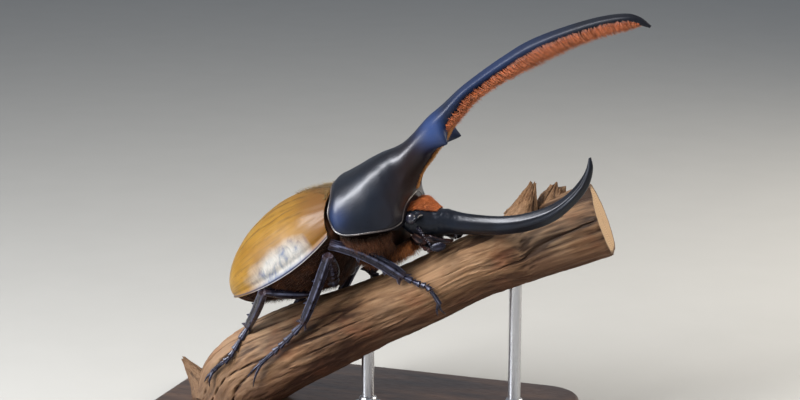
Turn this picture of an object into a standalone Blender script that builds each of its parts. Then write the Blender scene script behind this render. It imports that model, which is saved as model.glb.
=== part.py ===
"""A big male hercules beetle gripping a cut branch, on a plain display stand.

Life size. Lengths are in millimetres and become metres when a mesh is made. The beetle faces +X with its
middle plane at y = 0 and its right side at -Y. Its reference point is where the shield meets the wing cases.
"""

import math

import bmesh
import bpy
from mathutils import Vector

# Units and clearances
MM = 0.001
GAP = 0.3
WELD = 0.002

# Driving dimensions of the beetle, tip of abdomen to tip of upper horn about 155
HIND_PITCH = math.radians(34)
ELYTRA_FRONT = 2.0
ELYTRA_LENGTH = 45.0
ELYTRA_HALF_WIDTH = 21.1
ELYTRA_HEIGHT = 14.9
ELYTRA_HIGHEST = -15.0
ELYTRA_WIDEST = -20.0
ELYTRON_THICKNESS = 0.9
EYE_RADIUS = 1.55
EYE_CENTRE = (22.6, 8.0, 3.9)

# Driving dimensions of the stand and the perch
BASE_TOP = -58.0
BASE_THICKNESS = 8.0
BASE_LENGTH = 122.0
BASE_WIDTH = 84.0
BASE_CORNER = 12.0
BASE_MIDDLE = 2.0
ROD_RADIUS = 1.9
ROD_FOOT_RADIUS = 5.0
ROD_FOOT_HEIGHT = 2.4
ROD_PLACES = {"stand_rod_rear": 6.0, "stand_rod_front": 48.0}

# Fineness of the round shapes
SHIELD_SIDES = 22
HORN_SIDES = 12
LIMB_SIDES = 8
FOOT_SIDES = 6
CLAW_SIDES = 5
BRANCH_SIDES = 18

# Shield sections: underside x, z, topside x, z, half width, height of the widest place as a share
SHIELD = [
    (2.3, 1.3, -3.7, 12.2, 17.3, 0.10),
    (4.4, 0.2, -2.0, 13.9, 19.0, 0.10),
    (8.6, -0.3, 0.9, 15.4, 19.4, 0.10),
    (15.7, 0.9, 6.3, 18.7, 17.3, 0.12),
    (20.6, 3.2, 10.2, 21.0, 14.0, 0.16),
    (22.6, 6.8, 12.6, 22.6, 11.0, 0.24),
    (22.9, 11.4, 15.0, 23.8, 8.0, 0.34),
    (23.7, 16.2, 17.6, 25.0, 6.4, 0.44),
    (26.2, 20.8, 20.6, 27.0, 5.6, 0.50),
]

# Upper horn sections: topside x, z, direction, depth with its hair, half width
UPPER_HORN = [
    (20.9, 27.2, 44, 8.3, 5.8),
    (25.0, 31.6, 46, 7.4, 5.0),
    (29.0, 35.8, 46, 6.6, 4.4),
    (35.0, 41.6, 43, 6.0, 3.9),
    (41.6, 46.9, 38, 5.8, 3.6),
    (47.9, 51.5, 34, 6.1, 3.4),
    (54.8, 56.0, 29, 6.5, 3.3),
    (63.5, 59.9, 22, 5.8, 3.0),
    (74.2, 63.6, 15, 5.0, 2.6),
    (82.4, 65.2, 3, 4.0, 2.0),
    (87.0, 64.6, -16, 2.3, 1.3),
    (90.3, 62.5, -34, 0.8, 0.5),
]
HAIR_SHARE = 0.40
HAIR_START = 1.75
HAIR_END = 9.8
HAIR_FADE_IN = 1.4
HAIR_FADE_OUT = 10.2
HAIR_TUCK = 0.9
HORN_TOOTH = {"root": (28.4, 3.2, 30.4), "tip": (33.0, 6.2, 26.4), "width": 2.6}

# Lower horn sections: underside x, z, topside x, z, half width
LOWER_HORN = [
    (28.6, -1.9, 29.2, 6.4, 4.7),
    (31.6, -1.6, 31.6, 5.6, 3.8),
    (35.2, -1.3, 35.0, 4.9, 3.2),
    (42.2, -0.9, 42.0, 4.6, 2.8),
    (48.8, -0.2, 48.3, 4.9, 2.6),
    (56.2, 1.6, 54.9, 6.3, 2.5),
    (63.4, 4.9, 61.4, 8.9, 2.4),
    (69.2, 10.2, 66.4, 12.3, 2.2),
    (73.0, 15.4, 70.1, 16.4, 1.8),
    (74.4, 20.6, 72.3, 20.3, 1.3),
    (73.8, 24.2, 73.1, 23.9, 0.5),
]

# Head sections: x, lowest z, highest z, half width
HEAD = [
    (17.6, 0.6, 5.6, 6.4),
    (20.0, -1.6, 7.2, 7.5),
    (22.6, -2.6, 7.4, 7.6),
    (25.2, -3.1, 6.8, 6.9),
    (28.0, -2.9, 6.0, 5.4),
]
MOUTH = [
    (22.2, -6.2, -0.8, 4.6),
    (25.0, -6.6, -1.2, 4.4),
    (28.4, -6.0, -1.0, 3.6),
    (31.6, -4.4, -1.2, 2.2),
]
BREAST_HAIR = [
    (5.0, -10.2, -7.0, 7.0),
    (9.5, -11.2, -7.0, 8.0),
    (14.5, -10.2, -6.0, 7.4),
    (18.2, -6.8, -4.2, 6.2),
    (20.6, -4.6, -2.8, 5.0),
]

# Breast sections under the shield: underside x, z, topside x, z, half width
BREAST = [
    (7.7, -7.8, 2.6, -0.2, 15.4),
    (9.6, -8.4, 8.0, -0.8, 15.4),
    (13.2, -8.2, 12.8, -0.1, 13.8),
    (17.2, -6.2, 17.2, 1.1, 10.8),
]
BREAST_WAIST = 0.75

# Hair over the head, from the shield to the lower horn: place along the head's sections, height of the hair
COLLAR_HAIR = [
    (2.27, 1.9),
    (2.85, 1.5),
    (3.45, 1.1),
    (4.0, 0.9),
]
COLLAR_EDGE = math.radians(32)
COLLAR_LIFT = 0.35

# Underside of the hind body along its own axis: place, lowest height
BELLY = [
    (2.0, -6.8),
    (-4.0, -10.4),
    (-9.0, -14.2),
    (-13.5, -15.2),
    (-24.0, -12.3),
    (-32.0, -9.4),
    (-41.5, -5.4),
    (-46.0, -2.6),
]
WAIST = -15.0
ABDOMEN_END = -43.6

# Small triangular plate between the wing-case bases: place along the hind body, half width
SCUTELLUM = [
    (3.0, 3.2),
    (1.4, 3.0),
    (-1.2, 1.9),
    (-3.8, 0.7),
]
SCUTELLUM_THICKNESS = 1.2

# Legs: hip, knee, ankle, then the path of the foot and its two claw tips; each foot holds its own bit of bark
LEGS = {
    "front_right": {
        "hip": (12.8, -7.2, -8.0),
        "knee": (0.9, -17.8, -3.9),
        "ankle": (20.2, -8.4, -13.4),
        "foot": [(24.7, -7.9, -15.2), (27.4, -7.8, -16.0), (29.6, -7.8, -18.2), (31.2, -6.8, -21.3)],
        "claws": [(29.8, -4.5, -25.4), (31.8, -3.4, -25.0)],
    },
    "middle_right": {
        "hip": (-2.6, -6.8, -17.0),
        "knee": (1.1, -18.9, -6.3),
        "ankle": (-9.4, -13.0, -29.2),
        "foot": [(-14.2, -13.0, -34.5), (-17.2, -13.4, -37.5), (-20.0, -13.8, -40.2), (-22.9, -14.1, -42.9)],
        "claws": [(-27.4, -13.8, -47.8), (-25.5, -13.6, -50.5)],
    },
    "hind_right": {
        "hip": (-9.0, -7.6, -21.4),
        "knee": (-18.7, -20.6, -18.6),
        "ankle": (-29.8, -7.2, -34.0),
        "foot": [(-32.4, -10.2, -39.6), (-34.2, -11.6, -42.9), (-37.0, -11.9, -45.3), (-39.9, -11.6, -48.1)],
        "claws": [(-43.0, -10.4, -51.8), (-40.5, -12.2, -52.4)],
    },
    "front_left": {
        "hip": (12.8, 7.2, -8.0),
        "knee": (7.0, 18.8, -5.2),
        "ankle": (2.4, 11.4, -18.4),
        "foot": [(6.4, 13.0, -20.8), (9.6, 13.2, -20.8), (12.8, 13.6, -21.0), (15.6, 13.7, -22.8)],
        "claws": [(17.4, 13.2, -27.0), (19.4, 13.1, -26.2)],
    },
    "middle_left": {
        "hip": (-2.6, 6.8, -17.0),
        "knee": (0.0, 19.2, -8.0),
        "ankle": (-8.6, 12.8, -28.6),
        "foot": [(-13.4, 13.1, -33.9), (-16.4, 13.4, -37.2), (-19.0, 13.9, -40.2), (-21.4, 14.0, -43.4)],
        "claws": [(-25.2, 13.7, -48.3), (-22.9, 13.5, -50.0)],
    },
    "hind_left": {
        "hip": (-9.0, 7.6, -21.4),
        "knee": (-14.6, 20.6, -17.4),
        "ankle": (-21.4, 10.0, -31.6),
        "foot": [(-25.4, 12.2, -37.0), (-28.3, 13.0, -40.8), (-31.1, 13.3, -43.8), (-33.9, 13.2, -46.6)],
        "claws": [(-38.0, 12.2, -50.8), (-35.2, 13.8, -51.5)],
    },
}
FEMUR_RADII = (1.7, 2.6, 2.5, 1.7)
TIBIA_RADII = (1.35, 1.6, 1.7, 1.9, 1.6)
FOOT_START = 0.9
FOOT_RADIUS = 0.85
CLAW_RADIUS = 0.5
CLAW_BEND = 0.9
POINT_RADIUS = 0.28
TOOTH_REACH = 3.0
TOOTH_LEAN = 1.3
TOOTH_RADIUS = 1.1
FRONT_TEETH = (0.40, 0.68, 0.95)
OTHER_TEETH = (0.36, 0.68, 0.97)
OFF_AXIS = Vector((0.13, 0.97, 0.2))

# Branch along its middle: x, y, z, radius
BRANCH = [
    (-38.5, 0.0, -64.0, 13.2),
    (-36.0, 0.0, -58.5, 13.0),
    (-32.6, 0.0, -51.2, 13.0),
    (-22.5, 0.0, -44.2, 12.9),
    (-9.5, 0.0, -37.2, 12.1),
    (0.0, 0.2, -32.2, 11.0),
    (9.0, 0.6, -27.5, 10.1),
    (22.7, 2.0, -20.4, 9.7),
    (35.8, 6.4, -13.0, 9.5),
    (44.2, 10.8, -9.6, 10.1),
    (53.0, 15.2, -6.4, 10.8),
    (72.6, 19.2, 1.4, 11.4),
]
STUBS = {
    "low": {"foot": (-45.0, -4.0, -56.5), "tip": (-52.6, -4.6, -47.2), "radii": (4.4, 0.9)},
    "tall": {"foot": (50.0, 13.0, 1.0), "tip": (53.0, 13.0, 12.4), "radii": (5.0, 1.1)},
    "short": {"foot": (56.4, 17.4, 1.5), "tip": (58.6, 19.4, 10.2), "radii": (5.0, 2.6)},
}


def fresh_collection(name):
    """An empty collection in the scene."""
    collection = bpy.data.collections.new(name)
    bpy.context.scene.collection.children.link(collection)
    return collection


def principled(name, colour, roughness, metallic=0.0):
    """A plain material with the part's own colour and finish."""
    material = bpy.data.materials.new(name)
    material.use_nodes = True
    shader = material.node_tree.nodes["Principled BSDF"]
    shader.inputs["Base Color"].default_value = (*colour, 1.0)
    shader.inputs["Roughness"].default_value = roughness
    shader.inputs["Metallic"].default_value = metallic
    material.diffuse_color = (*colour, 1.0)
    return material


def blend_rows(rows, place):
    """Row of numbers at a place along a table, on a smooth curve through its rows."""
    place = min(max(place, 0.0), len(rows) - 1.0)
    index = min(int(place), len(rows) - 2)
    share = place - index
    before = rows[max(index - 1, 0)]
    start = rows[index]
    end = rows[index + 1]
    after = rows[min(index + 2, len(rows) - 1)]
    result = []
    for a, b, c, d in zip(before, start, end, after):
        bend = (2 * a - 5 * b + 4 * c - d) * share ** 2 + (3 * b - a - 3 * c + d) * share ** 3
        result.append(b + 0.5 * ((c - a) * share + bend))
    return result


def height_at(rows, place):
    """Second column of a table at a value of its first column, which falls along the table."""
    for (x0, y0), (x1, y1) in zip(rows, rows[1:]):
        if place >= x1:
            share = (x0 - place) / (x0 - x1)
            return y0 + (y1 - y0) * min(max(share, 0.0), 1.0)
    return rows[-1][1]


def signed_power(value, exponent):
    """A power that keeps the sign."""
    return math.copysign(abs(value) ** exponent, value)


def oval(centre, side, up, half_width, rise, drop, sides, squareness=1.0, keel=None):
    """Ring of points: an oval with its own height above and depth below the widest place.

    A squareness under 1 swells the corners; a keel over 1 pulls the lower half in towards a keel.
    """
    points = []
    for step in range(sides):
        angle = 2 * math.pi * (step + 0.5) / sides
        lower = math.sin(angle) < 0
        power = keel if lower and keel else squareness
        across = half_width * signed_power(math.cos(angle), power)
        height = signed_power(math.sin(angle), power) * (drop if lower else rise)
        points.append(centre + side * across + up * height)
    return points


def face_outwards(mesh):
    """Turn every face of a closed mesh outwards."""
    bmesh.ops.recalc_face_normals(mesh, faces=mesh.faces)
    if mesh.calc_volume(signed=True) < 0:
        bmesh.ops.reverse_faces(mesh, faces=mesh.faces)


def add_faces(mesh, rings):
    """Skin between rings of equal count, with both ends capped."""
    rows = [[mesh.verts.new(point * MM) for point in ring] for ring in rings]
    count = len(rows[0])
    for row, following in zip(rows, rows[1:]):
        for index in range(count):
            after = (index + 1) % count
            mesh.faces.new((row[index], row[after], following[after], following[index]))
    mesh.faces.new(reversed(rows[0]))
    mesh.faces.new(rows[-1])
    face_outwards(mesh)


def finish_object(name, mesh, material, parent, collection):
    """Object from a bmesh, smooth where it is round, under its parent."""
    data = bpy.data.meshes.new(name)
    mesh.to_mesh(data)
    mesh.free()
    data.shade_smooth()
    data.set_sharp_from_angle(angle=math.radians(50))
    data.materials.append(material)
    thing = bpy.data.objects.new(name, data)
    thing.parent = parent
    collection.objects.link(thing)
    return thing


def loft(name, rings, material, parent, collection):
    """Closed solid through rings of points."""
    mesh = bmesh.new()
    add_faces(mesh, rings)
    return finish_object(name, mesh, material, parent, collection)


def as_cutter(thing):
    """Keep a helper shape out of the finished model."""
    thing.hide_render = True
    thing.display_type = "WIRE"
    return thing


def boolean(thing, other, operation):
    """Live Boolean with the exact solver."""
    modifier = thing.modifiers.new(operation.title() + " " + other.name, "BOOLEAN")
    modifier.operation = operation
    modifier.solver = "EXACT"
    modifier.object = other


def grown_copy(thing, amount, cutters):
    """Cutter that is a neighbour grown along its normals, so the cut keeps a clearance."""
    evaluated = thing.evaluated_get(bpy.context.evaluated_depsgraph_get())
    data = bpy.data.meshes.new_from_object(evaluated)
    mesh = bmesh.new()
    mesh.from_mesh(data)
    bmesh.ops.remove_doubles(mesh, verts=mesh.verts, dist=WELD * MM)
    for vert in mesh.verts:
        vert.co += vert.normal * amount * MM
    mesh.to_mesh(data)
    mesh.free()
    cutter = bpy.data.objects.new("around_" + thing.name, data)
    cutter.parent = thing.parent
    cutters.objects.link(cutter)
    return as_cutter(cutter)


def largest_body(mesh):
    """Remove every loose crumb of a cut solid but its largest body."""
    unseen = set(mesh.verts)
    bodies = []
    while unseen:
        body = {unseen.pop()}
        edge_of_search = list(body)
        while edge_of_search:
            vert = edge_of_search.pop()
            for edge in vert.link_edges:
                other = edge.other_vert(vert)
                if other in unseen:
                    unseen.remove(other)
                    body.add(other)
                    edge_of_search.append(other)
        bodies.append(body)
    bodies.sort(key=len)
    crumbs = [vert for body in bodies[:-1] for vert in body]
    bmesh.ops.delete(mesh, geom=crumbs, context="VERTS")


def clear_of(thing, neighbours, cutters):
    """Cut a solid back from its neighbours by the clearance, and keep its largest body."""
    bpy.context.view_layer.update()
    for neighbour in neighbours:
        boolean(thing, grown_copy(neighbour, GAP, cutters), "DIFFERENCE")
    bpy.context.view_layer.update()
    evaluated = thing.evaluated_get(bpy.context.evaluated_depsgraph_get())
    mesh = bmesh.new()
    mesh.from_mesh(evaluated.data)
    bmesh.ops.remove_doubles(mesh, verts=mesh.verts, dist=WELD * MM)
    largest_body(mesh)
    thing.modifiers.clear()
    mesh.to_mesh(thing.data)
    mesh.free()


def slanted_oval(row, sides, waist=0.5, squareness=1.0, keel=None):
    """Section between an underside and a topside point, widest at a share of its height."""
    x_low, z_low, x_high, z_high, half_width = row
    low = Vector((x_low, 0, z_low))
    high = Vector((x_high, 0, z_high))
    up = (high - low).normalized()
    height = (high - low).length
    centre = low + up * height * waist
    rise = height * (1 - waist)
    drop = height * waist
    return oval(centre, Vector((0, 1, 0)), up, half_width, rise, drop, sides, squareness, keel)


def upright_rings(rows, places, sides):
    """Rings across +X from rows of x, lowest z, highest z, half width."""
    rings = []
    for place in places:
        x, low, high, half_width = blend_rows(rows, place)
        rings.append(slanted_oval((x, low, x, high, half_width), sides))
    return rings


def spread(start, end, count):
    """Evenly spaced places from start to end."""
    return [start + (end - start) * step / (count - 1) for step in range(count)]


def collar_ring(place, height):
    """Crescent that lies over the head at one of its sections."""
    x, low, high, half_width = blend_rows(HEAD, place)
    middle = (low + high) / 2
    points = []
    angles = spread(COLLAR_EDGE, math.pi - COLLAR_EDGE, 9)
    for lift, order in ((height, angles), (COLLAR_LIFT, reversed(angles))):
        for angle in order:
            across = (half_width + lift) * math.cos(angle)
            up = (high - middle + lift) * math.sin(angle)
            points.append(Vector((x, across, middle + up)))
    return points


def shield_ring(place, sides):
    """One section of the shield, a dome on its side margins."""
    *row, waist = blend_rows(SHIELD, place)
    return slanted_oval(row, sides, waist, 0.94)


def horn_frame(place):
    """Topside point, downward direction, depth and half width of the upper horn at a place."""
    x, z, degrees, depth, half_width = blend_rows(UPPER_HORN, place)
    turn = math.radians(degrees)
    return Vector((x, 0, z)), Vector((math.sin(turn), 0, -math.cos(turn))), depth, half_width


def hair_share(place):
    """Share of the horn's depth that is hair, fading out at both ends of the fringe."""
    rise = min(max((place - HAIR_FADE_IN) / HAIR_FADE_IN, 0.0), 1.0)
    fall = min(max(HAIR_FADE_OUT - place, 0.0), 1.0)
    return HAIR_SHARE * rise * fall


def horn_ring(place, sides):
    """One section of the horny part of the upper horn."""
    top, down, depth, half_width = horn_frame(place)
    horny = depth * (1 - hair_share(place))
    return oval(top + down * horny / 2, Vector((0, 1, 0)), -down, half_width, horny / 2, horny / 2, sides)


def horn_hair_ring(place, sides):
    """One section of the hair fringe under the upper horn."""
    top, down, depth, half_width = horn_frame(place)
    start = depth * (1 - hair_share(place)) - HAIR_TUCK
    deep = depth - start
    width = half_width * 0.72
    return oval(top + down * (start + deep / 2), Vector((0, 1, 0)), -down, width, deep / 2, deep / 2, sides, 0.8)


def elytra_half_width(u):
    """Half width over both wing cases at a place along the hind body."""
    if u < ELYTRA_WIDEST:
        share = (ELYTRA_WIDEST - u) / (ELYTRA_WIDEST + ELYTRA_LENGTH - ELYTRA_FRONT)
        return ELYTRA_HALF_WIDTH * (1 - min(share, 1.0) ** 2.6) ** 0.53
    share = (u - ELYTRA_WIDEST) / (ELYTRA_FRONT + 2 - ELYTRA_WIDEST)
    return ELYTRA_HALF_WIDTH - 1.4 * share ** 2 - 2.2 * share ** 12


def elytra_top(u):
    """Height of the wing cases on the middle line."""
    if u > ELYTRA_HIGHEST:
        return ELYTRA_HEIGHT - 2.9 * ((u - ELYTRA_HIGHEST) / 17) ** 2
    share = (ELYTRA_HIGHEST - u) / (ELYTRA_HIGHEST + ELYTRA_LENGTH - ELYTRA_FRONT)
    return -1.3 + (ELYTRA_HEIGHT + 1.3) * (1 - min(share, 1.0) ** 2) ** 0.625


def elytra_margin(u):
    """Height of the lower edge of the wing cases, which dips behind the shoulder."""
    share = min(max((ELYTRA_FRONT - u) / ELYTRA_LENGTH, 0.0), 1.0)
    return -0.8 - 3.3 * math.sin(math.pi * share ** 0.55) - 0.5 * share


def dome_point(u, angle, inset):
    """Point of the wing-case dome in the hind body's frame; angle 0 is the margin, 90 degrees the top."""
    low = elytra_margin(u)
    width = elytra_half_width(u) - inset
    height = elytra_top(u) - low - inset
    across = max(width, 0.2) * math.cos(angle) ** 0.92
    return Vector((u, across, low + max(height, 0.2) * math.sin(angle) ** 0.92))


def hind_ring(u, sides):
    """One section of the hind body under the wing cases."""
    inset = ELYTRON_THICKNESS + GAP + 0.35
    low = elytra_margin(u)
    width = elytra_half_width(u) - inset
    rise = elytra_top(u) - low - inset
    drop = low - height_at(BELLY, u)
    return oval(Vector((u, 0, low)), Vector((0, 1, 0)), Vector((0, 0, 1)), width, rise, drop, sides, 0.92, 1.25)


def build_elytron(name, sign, material, parent, collection):
    """One wing case: a thin shell from its margin to the middle line."""
    lengthwise = 11
    across = 9
    rear = ELYTRA_FRONT - ELYTRA_LENGTH + 0.25
    mesh = bmesh.new()
    layers = []
    for inset in (0.0, ELYTRON_THICKNESS):
        grid = []
        for row in range(lengthwise + 1):
            share = math.sin(math.pi / 2 * row / lengthwise)
            line = []
            for column in range(across + 1):
                angle = math.pi / 2 * column / across
                front = ELYTRA_FRONT + 1.6 * math.sin(angle)
                u = front + (rear + inset - front) * share
                point = dome_point(u, angle, inset)
                point.y = max(point.y, GAP / 2) * sign
                line.append(mesh.verts.new(point * MM))
            grid.append(line)
        layers.append(grid)
    outer, inner = layers
    for row in range(lengthwise):
        for column in range(across):
            for grid in layers:
                corners = (grid[row][column], grid[row + 1][column], grid[row + 1][column + 1], grid[row][column + 1])
                mesh.faces.new(corners)
    for row in range(lengthwise):
        for column in (0, across):
            mesh.faces.new((outer[row][column], outer[row + 1][column], inner[row + 1][column], inner[row][column]))
    for column in range(across):
        for row in (0, lengthwise):
            mesh.faces.new((outer[row][column], outer[row][column + 1], inner[row][column + 1], inner[row][column]))
    face_outwards(mesh)
    return finish_object(name, mesh, material, parent, collection)


def build_scutellum(material, parent, collection):
    """Small plate that fills the corner between the wing-case bases."""
    rings = []
    for u, half_width in SCUTELLUM:
        top = elytra_top(u) + 0.1
        half = SCUTELLUM_THICKNESS / 2
        side = Vector((0, 1, 0))
        rings.append(oval(Vector((u, 0, top - half)), side, Vector((0, 0, 1)), half_width, half, half, 8, 0.6))
    return loft("scutellum", rings, material, parent, collection)


def path_rings(points, radii, sides, flat=1.0, facing=Vector((0, 1, 0))):
    """Rings along a path; flat is the thickness towards facing as a share of the width."""
    rings = []
    for index, point in enumerate(points):
        before = points[max(index - 1, 0)]
        after = points[min(index + 1, len(points) - 1)]
        along = (after - before).normalized()
        across = facing.cross(along).normalized()
        thin = along.cross(across).normalized()
        radius = radii[index]
        rings.append(oval(point, across, thin, radius, radius * flat, radius * flat, sides))
    return rings


def line_points(start, end, count):
    """Points evenly along a straight line."""
    return [start.lerp(end, step / (count - 1)) for step in range(count)]


def smooth_path(points, count):
    """Points evenly placed on a smooth curve through the given points."""
    return [Vector(blend_rows(points, place)) for place in spread(0, len(points) - 1, count)]


def spike(name, root, tip, radius, helpers, sides=CLAW_SIDES, bend=Vector((0, 0, 0))):
    """Pointed helper solid from root to tip, such as a claw or a leg tooth."""
    middle = root.lerp(tip, 0.55) + bend
    radii = (radius, radius * 0.75, POINT_RADIUS)
    rings = path_rings([root, middle, tip], radii, sides, facing=OFF_AXIS)
    return as_cutter(loft(name, rings, helpers["material"], helpers["parent"], helpers["into"]))


def build_leg(name, joints, steel, parent, collection, cutters):
    """Thigh, shin with its teeth, and foot with two claws."""
    hip, knee, ankle = (Vector(joints[key]) for key in ("hip", "knee", "ankle"))
    outward = Vector((0, math.copysign(1, hip.y), 0))
    helpers = {"material": steel, "parent": parent, "into": cutters}
    to_knee = (knee - hip).normalized()
    thigh_points = line_points(hip, knee - to_knee * 0.4, len(FEMUR_RADII))
    rings = path_rings(thigh_points, FEMUR_RADII, LIMB_SIDES, 0.72, Vector((0, 0, 1)))
    femur = loft("femur_" + name, rings, steel, parent, collection)

    to_ankle = (ankle - knee).normalized()
    shin_start = knee + to_ankle * 0.6
    rings = path_rings(line_points(shin_start, ankle, len(TIBIA_RADII)), TIBIA_RADII, LIMB_SIDES, 0.66, outward)
    tibia = loft("tibia_" + name, rings, steel, parent, collection)
    edge = outward.cross(to_ankle).normalized()
    if edge.x + edge.z * 0.6 > 0:
        edge = -edge
    teeth = FRONT_TEETH if name.startswith("front") else OTHER_TEETH
    for number, share in enumerate(teeth):
        root = shin_start.lerp(ankle, share)
        tip = root + edge * TOOTH_REACH + to_ankle * TOOTH_LEAN
        tooth = spike(f"tooth_{name}_{number}", root + edge * 0.5, tip, TOOTH_RADIUS, helpers)
        boolean(tibia, tooth, "UNION")

    path = [tuple(ankle + to_ankle * FOOT_START)] + joints["foot"]
    count = 12
    points = smooth_path(path, count)
    swell = (0.75, 1.0, 1.15)
    radii = [FOOT_RADIUS * swell[step % 3] for step in range(count)]
    rings = path_rings(points, radii, FOOT_SIDES, 0.9, outward)
    tarsus = loft("tarsus_" + name, rings, steel, parent, collection)
    last = points[-1]
    for number, tip in enumerate(joints["claws"]):
        tip = Vector(tip)
        bend = outward * CLAW_BEND
        claw = spike(f"claw_{name}_{number}", last.lerp(points[-2], 0.25), tip, CLAW_RADIUS, helpers, bend=bend)
        boolean(tarsus, claw, "UNION")
    return femur, tibia, tarsus


def branch_ring(place, sides):
    """One section of the branch, a little lumpy as old wood is."""
    *middle, radius = blend_rows(BRANCH, place)
    ahead = Vector(blend_rows(BRANCH, place + 0.05)[:3])
    behind = Vector(blend_rows(BRANCH, place - 0.05)[:3])
    along = (ahead - behind).normalized()
    side = Vector((0, 0, 1)).cross(along).normalized()
    up = along.cross(side)
    points = []
    for step in range(sides):
        angle = 2 * math.pi * step / sides
        lump = 0.035 * math.sin(3 * angle + 0.9 * place) + 0.02 * math.sin(5 * angle - 1.7 * place)
        reach = radius * (0.98 + lump)
        points.append(Vector(middle) + side * reach * math.cos(angle) + up * reach * math.sin(angle))
    return points


def build_branch(material, parent, collection, cutters):
    """Cut branch with three broken stubs, standing on its sawn foot."""
    places = spread(0, len(BRANCH) - 1, 21)
    branch = loft("branch", [branch_ring(place, BRANCH_SIDES) for place in places], material, parent, collection)
    for name, stub in STUBS.items():
        foot = Vector(stub["foot"])
        tip = Vector(stub["tip"])
        wide, narrow = stub["radii"]
        points = line_points(foot, tip, 4)
        radii = [wide, wide * 0.62 + narrow * 0.2, narrow * 1.5, narrow]
        rings = path_rings(points, radii, 8, 0.85)
        helper = as_cutter(loft("stub_" + name, rings, material, parent, cutters))
        boolean(branch, helper, "UNION")
    floor = bmesh.new()
    bmesh.ops.create_cube(floor, size=1.0)
    for vert in floor.verts:
        vert.co = Vector((vert.co.x * 90 - 35, vert.co.y * 60, BASE_TOP + GAP - 15 + vert.co.z * 30)) * MM
    saw = as_cutter(finish_object("saw_at_the_base", floor, material, parent, cutters))
    boolean(branch, saw, "DIFFERENCE")
    return branch


def build_base(material, parent, collection):
    """Flat display base with rounded corners and eased edges."""
    mesh = bmesh.new()
    bmesh.ops.create_cube(mesh, size=1.0)
    for vert in mesh.verts:
        vert.co.x = (vert.co.x * BASE_LENGTH + BASE_MIDDLE) * MM
        vert.co.y = vert.co.y * BASE_WIDTH * MM
        vert.co.z = (vert.co.z * BASE_THICKNESS + BASE_TOP - BASE_THICKNESS / 2) * MM
    corners = [edge for edge in mesh.edges if abs(edge.verts[0].co.z - edge.verts[1].co.z) > MM]
    bmesh.ops.bevel(mesh, geom=corners, offset=BASE_CORNER * MM, segments=5, profile=0.5, affect="EDGES", material=-1)
    top = max(mesh.verts, key=lambda vert: vert.co.z).co.z
    rim = [edge for edge in mesh.edges if all(abs(vert.co.z - top) < 0.01 * MM for vert in edge.verts)]
    bmesh.ops.bevel(mesh, geom=rim, offset=1.5 * MM, segments=2, profile=0.5, affect="EDGES", material=-1)
    return finish_object("stand_base", mesh, material, parent, collection)


def branch_middle(x):
    """Middle and radius of the branch at a place along it."""
    steps = 1000
    for step in range(steps):
        *middle, radius = blend_rows(BRANCH, (len(BRANCH) - 1) * step / (steps - 1))
        if middle[0] >= x:
            break
    return Vector(middle), radius


def build_rod(name, x, material, parent, collection, cutters, branch):
    """Rod on a round foot, from the base up to the branch's underside."""
    middle, radius = branch_middle(x)
    top = middle.z - radius * 0.7
    low = BASE_TOP + GAP
    profile = [(ROD_RADIUS, top), (ROD_RADIUS, low + ROD_FOOT_HEIGHT), (ROD_FOOT_RADIUS, low + ROD_FOOT_HEIGHT)]
    profile += [(ROD_FOOT_RADIUS, low), (0.0, low)]
    data = bpy.data.meshes.new(name)
    points = [(0.0, 0.0, top * MM)] + [(radius * MM, 0.0, height * MM) for radius, height in profile]
    data.from_pydata(points, [(index, index + 1) for index in range(len(points) - 1)], [])
    data.materials.append(material)
    rod = bpy.data.objects.new(name, data)
    rod.parent = parent
    rod.location = (x * MM, middle.y * MM, 0)
    collection.objects.link(rod)
    turn = rod.modifiers.new("Turned", "SCREW")
    turn.steps = 16
    turn.render_steps = 16
    turn.use_merge_vertices = True
    turn.merge_threshold = 0.00001
    turn.use_smooth_shade = True
    clear_of(rod, [branch], cutters)
    return rod


def build_antenna(name, sign, material, parent, collection, cutters):
    """Feeler: a thin stalk bent once and an oval club at its end."""
    path = [(24.6, 7.9, 0.9), (26.6, 8.5, -0.7), (28.2, 8.3, -2.3), (29.6, 8.1, -3.9)]
    points = [Vector((x, y * sign, z)) for x, y, z in path]
    stalk = loft(name, path_rings(points, (0.5, 0.42, 0.42, 0.45), 6), material, parent, collection)
    club_start = Vector((28.9, 8.1 * sign, -4.2))
    club_end = Vector((33.2, 8.0 * sign, -3.1))
    rings = path_rings(line_points(club_start, club_end, 5), (0.35, 1.05, 1.2, 1.05, 0.35), 8, 0.8)
    boolean(stalk, as_cutter(loft("club_" + name, rings, material, parent, cutters)), "UNION")
    return stalk


def build_palp(name, sign, material, parent, collection):
    """Jointed mouth feeler hanging beside the jaws."""
    path = [(25.2, 5.0, -5.0), (26.8, 5.6, -5.9), (28.6, 5.2, -6.2), (30.2, 4.4, -5.6)]
    points = [Vector((x, y * sign, z)) for x, y, z in path]
    return loft(name, path_rings(points, (0.55, 0.6, 0.7, 0.4), 6), material, parent, collection)


def build_eye(name, sign, material, parent, collection):
    """Round glossy eye."""
    mesh = bmesh.new()
    bmesh.ops.create_uvsphere(mesh, u_segments=12, v_segments=8, radius=EYE_RADIUS * MM)
    bmesh.ops.scale(mesh, vec=(1.0, 0.85, 1.0), verts=mesh.verts)
    x, y, z = EYE_CENTRE
    bmesh.ops.translate(mesh, vec=Vector((x, y * sign, z)) * MM, verts=mesh.verts)
    return finish_object(name, mesh, material, parent, collection)


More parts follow.
